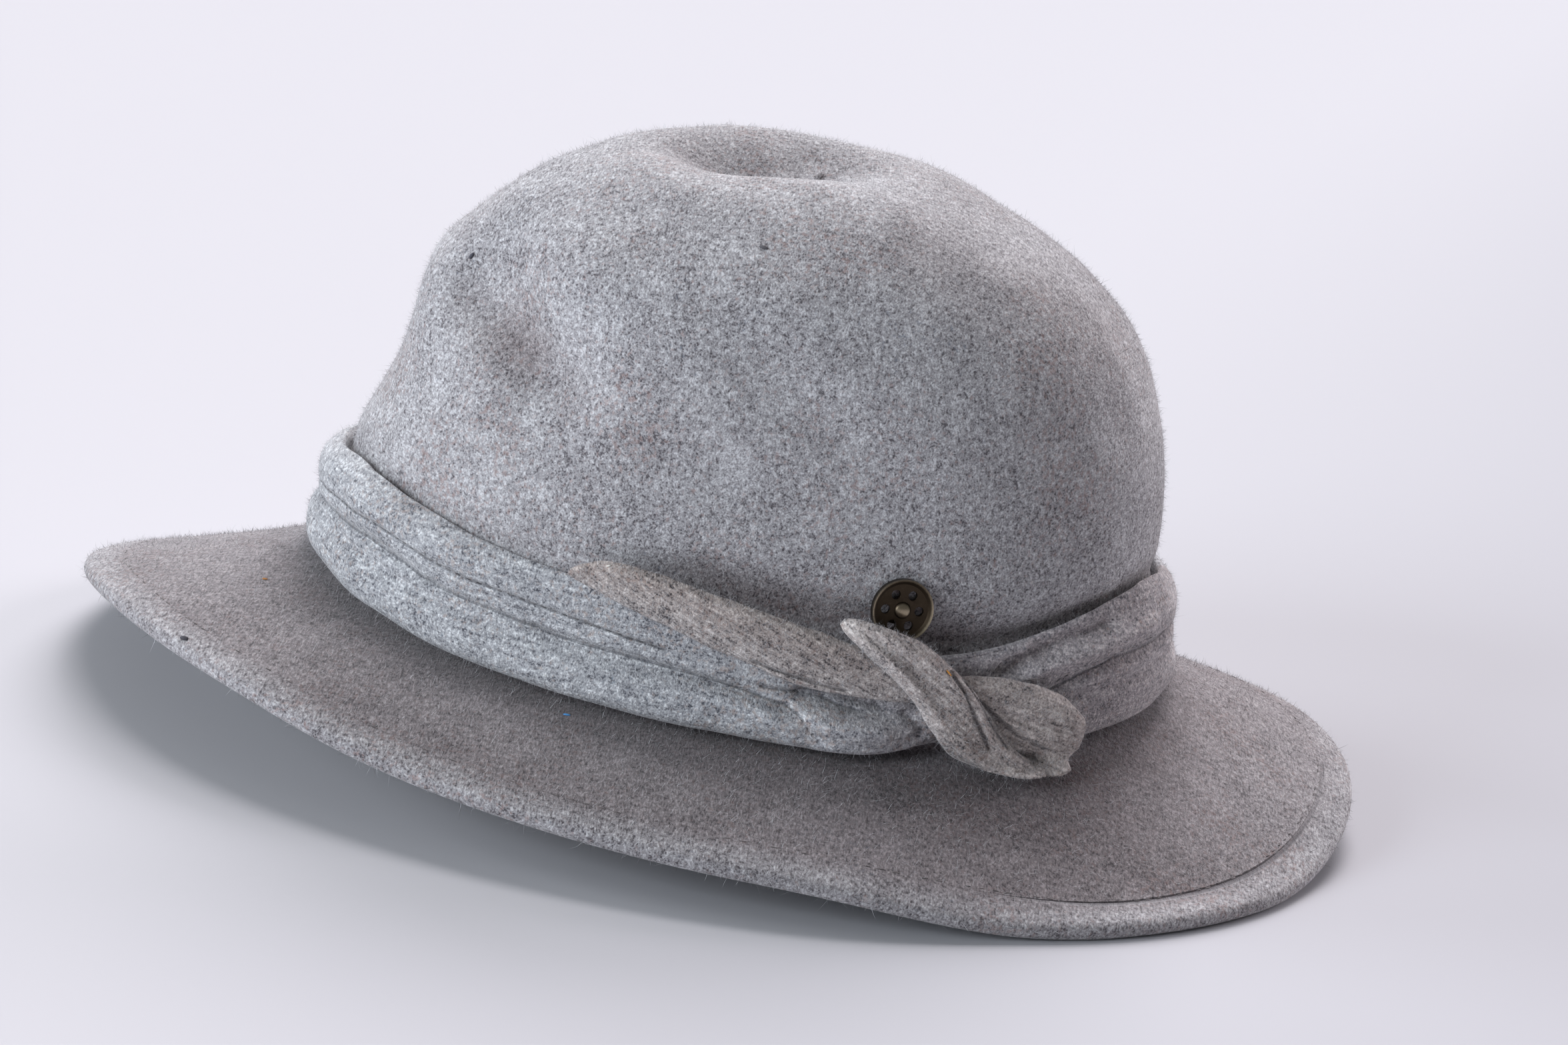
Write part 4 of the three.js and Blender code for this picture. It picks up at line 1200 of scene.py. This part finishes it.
def sew(name, spots, long, thick, thread, seed):
    """Stitches at spots on a skin. A spot is a place, a normal and a direction, in metres."""
    random = np.random.default_rng(seed)
    corners, faces = [], []
    for place, normal, direction in spots:
        normal = normal.normalized()
        ahead = (direction - normal * direction.dot(normal)).normalized()
        turned = Matrix((ahead, normal.cross(ahead), normal)).transposed()
        size = Vector((long * random.uniform(*STITCH_SPREAD), thick, thick)) * MM
        start = len(corners)
        corners += [place + turned @ (Vector(corner) * size) for corner in STITCH_CORNERS]
        faces += [tuple(start + index for index in face) for face in STITCH_FACES]
    mesh = bpy.data.meshes.new(name)
    mesh.from_pydata([tuple(corner) for corner in corners], [], faces)
    piece = new_piece(name, mesh)
    piece.data.materials.append(thread)
    only(piece)
    bpy.ops.object.shade_smooth()
    print(name, len(spots), "stitches")
    return piece


# %% Band and brim stitches
def spun_thread(name, dark, pale):
    """Thread with a tone that changes every few stitches."""
    finish = Finish(name, Roughness=0.85, Sheen_Weight=0.2)
    here = finish.object_place()
    change = finish.noise(here, scale=0.35).ramp(low=0.35, high=0.65)
    finish.set(Base_Color=finish.mix(change, dark, pale))
    finish.bump(finish.noise(here, scale=6.0), distance=0.05, strength=0.5)
    return finish.material


REAR_SEAM = [(140, 41.6), (144, 44.4), (149, 47.2), (156, 48.4), (164, 48.6)]
BAND_PITCH = 2.6
BRIM_PITCH = 3.4
ABOVE_BRIM = 0.08  # rays down onto the brim start at this height, in metres
SEEN_THREAD = 0.55  # share of the brim's stitches that show above the nap
SEEN_SEED = 21
DOWN = Vector((0, 0, -1))
band_tree = skin_tree(folded_band.data)
hat_tree = skin_tree(felt_hat.data)


def band_spots(path):
    """Spots along a path on the map, a pitch apart."""
    corners = np.array(on_map(path))
    steps = np.concatenate([[0], np.cumsum(np.linalg.norm(np.diff(corners, axis=0), axis=1))])
    walk = np.arange(0, steps[-1], BAND_PITCH)
    turns = np.degrees(np.interp(walk, steps, corners[:, 0]) / WALL_REACH)
    heights = np.interp(walk, steps, corners[:, 1])
    found = [skin_at(band_tree, turn, up)[:2] for turn, up in zip(turns, heights)]
    return [(*here, after[0] - here[0]) for here, after in zip(found[:-1], found[1:])]


def brim_spots():
    """Spots on the brim's upper face, along its hem."""
    random = np.random.default_rng(SEEN_SEED)
    outward = edge - BASE_MIDDLE
    outward[:, 2] = 0
    outward /= np.linalg.norm(outward, axis=1)[:, None]
    line = edge - outward * HEM_LINE
    steps = np.concatenate([[0], np.cumsum(np.linalg.norm(np.diff(line, axis=0), axis=1))])
    spots = []
    for walk in np.arange(0, steps[-1], BRIM_PITCH):
        x, y = (np.interp(walk, steps, line[:, axis]) for axis in range(2))
        place, normal, _, _ = hat_tree.ray_cast(Vector((x * MM, y * MM, ABOVE_BRIM)), DOWN)
        ahead_x, ahead_y = (np.interp(walk + 1, steps, line[:, axis]) for axis in range(2))
        if random.random() < SEEN_THREAD:
            spots.append((place, normal, Vector((ahead_x - x, ahead_y - y, 0))))
    return spots


dark_thread = spun_thread("dark_thread", rgb(64, 63, 66), rgb(112, 110, 112))
grey_thread = spun_thread("grey_thread", rgb(72, 66, 66), rgb(118, 110, 110))
band_line = band_spots(BAND_SEAM["path"]) + band_spots(REAR_SEAM)
band_stitches = sew("band_stitches", band_line, long=1.7, thick=0.36, thread=dark_thread, seed=31)
brim_stitches = sew("brim_stitches", brim_spots(), long=2.0, thick=0.36, thread=grey_thread, seed=32)

# %% [markdown]
# ## The stud
#
# A round stud of dark bronze is pinned through the felt above the knot. It is a turned disc with
# a raised rim, a sunk face, six round holes and a domed boss. The disc is a cylinder whose front is
# inset and pushed back, its edges are bevelled, and six cutters make the holes, as a lathe and a
# drill would. Years of wear brighten what stands proud and leave a dark patina in what is sunk, so the
# finish follows the height above the plate.

# %% The stud's place
STUD_RADIUS = 7.0
STUD_HIGH = 2.35  # from the felt to the top of the boss
PLATE_BOTTOM = 0.35
PLATE_TOP = 1.45
RIM_TOP = 2.25
RIM_WIDE = 1.1
BOSS = (1.9, 0.9)  # radius and height
HOLE_RING = 3.9
HOLE_RADIUS = 1.05
HOLES = 6
PIN = (1.0, 2.35)  # radius and length through the felt
WASHER = (4.0, 0.7)  # radius and thickness
BEVEL = {"stud": 0.16, "washer": 0.15}
CUTTER = (-1, 3)  # the holes are cut from and to these heights
LOOKS_UP = 0.9  # a face whose normal rises more than this is a top face
SAME_LEVEL = 0.1  # and it lies at a height when it is this near to it, in mm
SHARP = math.radians(35)  # edges sharper than this are bevelled
SMOOTH = math.radians(40)  # and flatter ones are shaded smooth


def stud_frame():
    """The way from the stud's own axes, +Z out of the felt, to the hat."""
    points = np.array([tuple(vertex.co) for vertex in frame["nodes"]["metal_stud"].data.vertices])
    heart = points.mean(axis=0)
    _, axes = np.linalg.eigh(np.cov((points - heart).T))
    out = Vector(axes[:, 0])
    if out.x < 0:
        out = -out
    high = max((Vector(point) - Vector(heart)).dot(out) for point in points)
    seat = Vector(heart) + out * (high - STUD_HIGH * MM)
    turned = out.to_track_quat("Z", "Y").to_matrix().to_4x4()
    turned.translation = seat
    return turned


print("stud's seat:", [round(value, 4) for value in stud_frame().translation])

# %% Turning a disc
def turned_disc(name, radius, bottom, top, sides=64):
    bpy.ops.object.select_all(action="DESELECT")
    middle = (0, 0, (bottom + top) / 2 * MM)
    size = {"radius": radius * MM, "depth": (top - bottom) * MM}
    bpy.ops.mesh.primitive_cylinder_add(vertices=sides, location=middle, **size)
    bpy.ops.object.transform_apply(location=True, rotation=True, scale=True)
    bpy.context.object.name = name
    return bpy.context.object


def select_top(piece, level):
    """Selects the upward faces at a height, in edit mode."""
    only(piece)
    bpy.ops.object.mode_set(mode="EDIT")
    bpy.ops.mesh.select_mode(type="FACE")
    bpy.ops.mesh.select_all(action="DESELECT")
    bpy.ops.object.mode_set(mode="OBJECT")
    for face in piece.data.polygons:
        near = abs(face.center.z - level * MM) < SAME_LEVEL * MM
        face.select = face.normal.z > LOOKS_UP and near
    bpy.ops.object.mode_set(mode="EDIT")


# %% Piercing the face and raising the boss
def pierced_face():
    """The disc with its rim, its sunk plate and its six holes."""
    stud = turned_disc("stud", STUD_RADIUS, PLATE_BOTTOM, RIM_TOP)
    select_top(stud, RIM_TOP)
    bpy.ops.mesh.inset(thickness=RIM_WIDE * MM)
    bpy.ops.transform.translate(value=(0, 0, (PLATE_TOP - RIM_TOP) * MM))
    bpy.ops.object.mode_set(mode="OBJECT")
    for step in range(HOLES):
        round_face = math.tau * step / HOLES
        ring = HOLE_RING * MM
        cutter = turned_disc("cutter", HOLE_RADIUS, *CUTTER, sides=28)
        place = (ring * math.cos(round_face), ring * math.sin(round_face), 0)
        cutter.data.transform(Matrix.Translation(place))
        apply_modifier(stud, "BOOLEAN", operation="DIFFERENCE", object=cutter, solver="EXACT")
        bpy.data.objects.remove(cutter)
    settings = {"segments": 3, "limit_method": "ANGLE", "angle_limit": SHARP}
    apply_modifier(stud, "BEVEL", width=BEVEL["stud"] * MM, **settings)
    return stud


def domed_boss():
    bpy.ops.object.select_all(action="DESELECT")
    size = {"radius": BOSS[0] * MM, "location": (0, 0, PLATE_TOP * MM)}
    bpy.ops.mesh.primitive_uv_sphere_add(segments=40, ring_count=20, **size)
    boss = bpy.context.object
    boss.scale = (1, 1, BOSS[1] / BOSS[0])
    bpy.ops.object.transform_apply(location=True, rotation=True, scale=True)
    return boss


# %% Joining the stud
def make_stud():
    stud = pierced_face()
    boss = domed_boss()
    pin = turned_disc("pin", PIN[0], -PIN[1], PLATE_BOTTOM, sides=24)
    washer = turned_disc("washer", WASHER[0], -PIN[1] - WASHER[1], -PIN[1], sides=48)
    apply_modifier(washer, "BEVEL", width=BEVEL["washer"] * MM, segments=2, limit_method="ANGLE")
    for part in (boss, pin, washer):
        part.select_set(True)
    stud.select_set(True)
    bpy.context.view_layer.objects.active = stud
    bpy.ops.object.join()
    proud = np.clip((places(stud)[:, 2] - PLATE_TOP) / (RIM_TOP - PLATE_TOP), 0, 1)
    write_attribute(stud, "proud", proud)
    stud.data.transform(stud_frame())
    only(stud)
    bpy.ops.object.shade_smooth_by_angle(angle=SMOOTH)
    return stud


# %% Worn bronze
BRONZE_DARK = rgb(62, 53, 43)
BRONZE_WORN = rgb(150, 138, 118)
PATCH = {"scale": 1.4, "detail": 4.0}  # noises, with their scale in cells a mm
SMEAR = {"scale": 3.0, "detail": 3.0}
PIT = {"scale": 4.0, "detail": 3.0}
PATCH_SHARE = 0.5  # how much the wear comes and goes in patches
DULL = 0.46  # the roughness of the patina
POLISH = 0.16  # how much wear takes from it
SMEAR_SHARE = 0.2  # and how much smears change it
bronze = Finish("stud_bronze", Metallic=1.0)
here = bronze.object_place()
proud = bronze.attribute("proud").ramp(low=0.35, high=1.0)
wear_and_highlight = proud + (bronze.noise(here, **PATCH) - HALF) * PATCH_SHARE
bronze.set(Base_Color=bronze.mix(wear_and_highlight.ramp(low=0.0, high=1.0), BRONZE_DARK, BRONZE_WORN))
bronze.set(Roughness=DULL - wear_and_highlight * POLISH + (bronze.noise(here, **SMEAR) - HALF) * SMEAR_SHARE)
bronze.bump(bronze.noise(here, **PIT), distance=0.03, strength=0.4)
stud = make_stud()
stud.data.materials.clear()
stud.data.materials.append(bronze.material)
print("stud:", len(stud.data.polygons), "faces")

# %% [markdown]
# ## Lint
#
# Felt picks up lint. Seven specks lie on this hat: dark nubs of wool on the crown and the brim's
# front, a blue and two orange fibres, and a white fleck. Spots of paint would be flat, so they are
# small spindles of their own colour, made as the stitches are and set on the nearest felt.

# %% Specks
LINT = [  # what it lies on, its place in mm, the way it lies, length, thickness and colour
    {
        "on": "body", "at": (86.1, -117.5, 25.1), "lies": (0.3, 1, 0.2),
        "long": 2.0, "thick": 1.1, "colour": rgb(78, 76, 82),
    },
    {
        "on": "body", "at": (40.1, -107.8, 28), "lies": (0, 1, 0),
        "long": 1.2, "thick": 0.5, "colour": rgb(186, 128, 70),
    },
    {
        "on": "body", "at": (88.7, -31.7, 23.3), "lies": (0, 1, 0.3),
        "long": 1.6, "thick": 0.5, "colour": rgb(84, 150, 208),
    },
    {
        "on": "band", "at": (86.8, 49.1, 46.7), "lies": (0, 1, -0.6),
        "long": 1.8, "thick": 0.45, "colour": rgb(214, 150, 70),
    },
    {
        "on": "band", "at": (87.1, -27.9, 58), "lies": (0, 1, 0.3),
        "long": 1.4, "thick": 0.5, "colour": rgb(226, 222, 214),
    },
    {
        "on": "body", "at": (27, -72.6, 108.7), "lies": (0, 0.4, 1),
        "long": 1.8, "thick": 0.9, "colour": rgb(84, 84, 92),
    },
    {
        "on": "body", "at": (58.3, -6.3, 127.5), "lies": (0, 1, -0.4),
        "long": 1.9, "thick": 0.9, "colour": rgb(88, 86, 90),
    },
]
LINT_LIFT = 0.3  # a speck's middle stands off by this share of its thickness
LINT_SEED = 40
dressed = [felt_hat, folded_band, pointed_end, wrap, blunt_end]
dressed_trees = [skin_tree(piece.data) for piece in dressed]


def nearest_skin(place):
    """The nearest point and normal on any felt piece."""
    found = [tree.find_nearest(place) for tree in dressed_trees]
    best = min(found, key=lambda hit: hit[3])
    return best[0], best[1]


lint = {}
for index, row in enumerate(LINT):
    place, normal = nearest_skin(Vector(row["at"]) * MM)
    name = f"lint_{index}"
    speck = Finish(name, Base_Color=row["colour"], Roughness=0.9).material
    spot = (place + normal * row["thick"] * LINT_LIFT * MM, normal, Vector(row["lies"]))
    lint[name] = sew(name, [spot], row["long"], row["thick"], speck, LINT_SEED + index)

# %% [markdown]
# ## Loose fibres
#
# Wool felt has a nap. Single fibres stand off the skin, and they are what makes its outline soft.
# One fibre is a thin strip of three triangles with a bend. A few bent strips are copied tens of
# thousands of times onto the skins, as one mesh for each skin. A particle system would do the same,
# but its strands are no mesh until they are rendered, and here each fibre's place has to be kept.

# %% One fibre
FIBRE_BENDS = [  # how high the bend and the tip of a fibre stand, and how far it swings sideways
    {"rise": 0.10, "lift": 0.35, "sideways": 0.12},
    {"rise": 0.22, "lift": 0.18, "sideways": -0.25},
    {"rise": 0.05, "lift": -0.08, "sideways": 0.3},
    {"rise": 0.3, "lift": 0.6, "sideways": -0.1},
    {"rise": -0.04, "lift": 0.3, "sideways": 0.45},
]
CORNERS = 5  # two at the root, two at the bend and a tip
BEND_AT = 0.5  # a fibre bends this far along it
ROOT_SIDE = 0.5  # half its width at its root
BEND_SIDE = 0.4  # and at its bend


def fibre_shape(rise, lift, sideways):
    """A bent strip one long and one wide: the distance along, across and up of each corner."""
    root = [(0, -ROOT_SIDE, 0), (0, ROOT_SIDE, 0)]
    bend = [(BEND_AT, -BEND_SIDE, rise), (BEND_AT, BEND_SIDE, rise)]
    corners = root + bend + [(1, 0, lift)]
    ahead, across, up = np.array(corners, float).T
    return ahead, across, up, ahead**2 * sideways


FIBRES = [fibre_shape(**row) for row in FIBRE_BENDS]
print("fibre shapes:", len(FIBRES))

# %% Three shades of fibre
fibre_shades = [
    Finish("fibre_pale", Base_Color=rgb(192, 192, 195), Roughness=0.8).material,
    Finish("fibre_grey", Base_Color=rgb(146, 143, 146), Roughness=0.8).material,
    Finish("fibre_dark", Base_Color=rgb(100, 93, 95), Roughness=0.8).material,
]
print("fibre shades:", [shade.name for shade in fibre_shades])

# %% Where fibres grow
NO_AREA = 1e-12  # keeps a triangle of no area from dividing by zero


def unit(rows):
    return rows / np.linalg.norm(rows, axis=1)[:, None]


def random_roots(random, skin, count, keep):
    """Places spread evenly over the kept part of a skin, and the way out of it at each."""
    mesh = skin.data
    mesh.calc_loop_triangles()
    corners = np.empty(len(mesh.loop_triangles) * 3, int)
    mesh.loop_triangles.foreach_get("vertices", corners)
    triangle = places(skin)[corners.reshape(-1, 3)]
    cross = np.cross(triangle[:, 1] - triangle[:, 0], triangle[:, 2] - triangle[:, 0])
    area = np.linalg.norm(cross, axis=1)
    if keep is not None:
        area = area * keep(triangle.mean(axis=1), cross / np.maximum(area, NO_AREA)[:, None])
    chosen = random.choice(len(area), size=count, p=area / area.sum())
    first, second = np.sqrt(random.random(count)), random.random(count)
    shares = np.stack([1 - first, first * (1 - second), first * second], axis=1)
    return (triangle[chosen] * shares[:, :, None]).sum(axis=1), unit(cross[chosen])


# %% Spreading fibres over a skin
CROWN_BLEND = (0.55, 0.27, 0.18)  # shares of pale, grey and dark fibres
# the brim takes more dark fibres to keep its darker tone, its browner felt and painted shade
BRIM_BLEND = (0.3, 0.25, 0.45)
LENGTH_SPREAD = 0.35


def fibre_corners(random, root, out, long, wide, rise):
    """The corners of one bent fibre at each root, lying in a random direction."""
    count = len(root)
    along = unit(np.cross(out, random.normal(size=(count, 3))))
    lean = np.abs(random.normal(0, rise, count))[:, None]
    forward = along * np.cos(lean) + out * np.sin(lean)
    sideways = np.cross(out, along)
    upward = np.cross(forward, sideways)
    length = (long * random.lognormal(0, LENGTH_SPREAD, count))[:, None, None]
    kind = random.integers(0, len(FIBRES), count)
    ahead, across, up, swing = (np.array(column)[kind][:, :, None] for column in zip(*FIBRES))
    bent = ahead * forward[:, None] * length + (across * wide + swing * length) * sideways[:, None]
    return root[:, None] + bent + up * upward[:, None] * length


def scatter_fibres(name, skin, count, long, wide, rise, seed, keep=None, blend=CROWN_BLEND):
    """Bent fibres spread over a skin, as one mesh with three shades."""
    random = np.random.default_rng(seed)
    root, out = random_roots(random, skin, count, keep)
    corners = fibre_corners(random, root, out, long, wide, rise)
    start = np.arange(count) * CORNERS
    quads = np.stack([start, start + 1, start + 3, start + 2], axis=1)
    tips = np.stack([start + 2, start + 3, start + 4], axis=1)
    faces = [face for pair in zip(quads.tolist(), tips.tolist()) for face in pair]
    mesh = bpy.data.meshes.new(name)
    mesh.from_pydata((corners.reshape(-1, 3) * MM).tolist(), [], faces)
    for shade in fibre_shades:
        mesh.materials.append(shade)
    shade = random.choice(len(fibre_shades), size=count, p=blend)
    mesh.polygons.foreach_set("material_index", np.repeat(shade, 2))
    mesh.update()
    print(name, count, "fibres")
    return new_piece(name, mesh)


# %% The nap of each piece
CROWN_FOOT = 45  # the crown's nap starts at this height, in mm
LEVEL_OUT = 0.1  # a face that rises more than this looks up
FLOOR_CLEAR = 3.5  # no fibres hang this near the floor, in mm
HEM_BARE = 0.6  # and none stand this close to the hem line


def on_crown(middles, out):
    return (middles[:, 2] > CROWN_FOOT) * ((out * (middles - CROWN_HEART)).sum(axis=1) > 0)


def on_brim_top(middles, out):
    upward = (middles[:, 2] <= CROWN_FOOT) * (out[:, 2] > LEVEL_OUT)
    return upward * (from_hem(middles) > HEM_BARE)


def on_brim_under(middles, out):
    downward = (middles[:, 2] <= CROWN_FOOT) * (out[:, 2] <= LEVEL_OUT)
    return downward * (middles[:, 2] > FLOOR_CLEAR)


NAPS = {  # how many fibres, their length and width in mm, how much they rise, and where they stand
    "nap_crown": {
        "skin": felt_hat, "count": 60000, "long": 1.35, "wide": 0.05, "rise": 0.28, "seed": 1,
        "keep": on_crown,
    },
    "nap_brim": {
        "skin": felt_hat, "count": 46000, "long": 1.35, "wide": 0.055, "rise": 0.24, "seed": 2,
        "keep": on_brim_top, "blend": BRIM_BLEND,
    },
    "nap_under": {
        "skin": felt_hat, "count": 24000, "long": 1.8, "wide": 0.06, "rise": 0.25, "seed": 3,
        "keep": on_brim_under,
    },
    "nap_band": {
        "skin": folded_band, "count": 42000, "long": 1.2, "wide": 0.045, "rise": 0.28, "seed": 4,
    },
}
for index, (name, row) in enumerate(KNOT.items()):
    NAPS[name + "_nap"] = {
        "skin": row["piece"], "count": 6000, "long": 1.2, "wide": 0.045, "rise": 0.32, "seed": 5 + index,
    }
fuzz = {name: scatter_fibres(name, **row) for name, row in NAPS.items()}

# %% [markdown]
# ## Riding on the body
#
# Every piece rides on the hat's one body, and each imported solid that a piece stands for is hidden.

# %% Riding and replacing
STANDS_FOR = {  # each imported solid, with the piece that stands for it and the piece's slot
    "crown_and_brim": (felt_hat, "body_felt"),
    "hat_band": (folded_band, "band_felt"),
    "long_tail": (pointed_end, "band_felt"),
    "knot_wrap": (wrap, "band_felt"),
    "short_tail": (blunt_end, "band_felt"),
    "metal_stud": (stud, "stud_metal"),
}
for node, (piece, slot) in STANDS_FOR.items():
    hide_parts(node)
    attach(piece, "root")
on_body = {"nap_crown", "nap_brim", "nap_under", "brim_stitches"}
on_body |= {name for name, row in zip(lint, LINT) if row["on"] == "body"}
for piece in [*fuzz.values(), *lint.values(), band_stitches, brim_stitches]:
    "body_felt" if piece.name in on_body else "band_felt"
    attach(piece, "root")
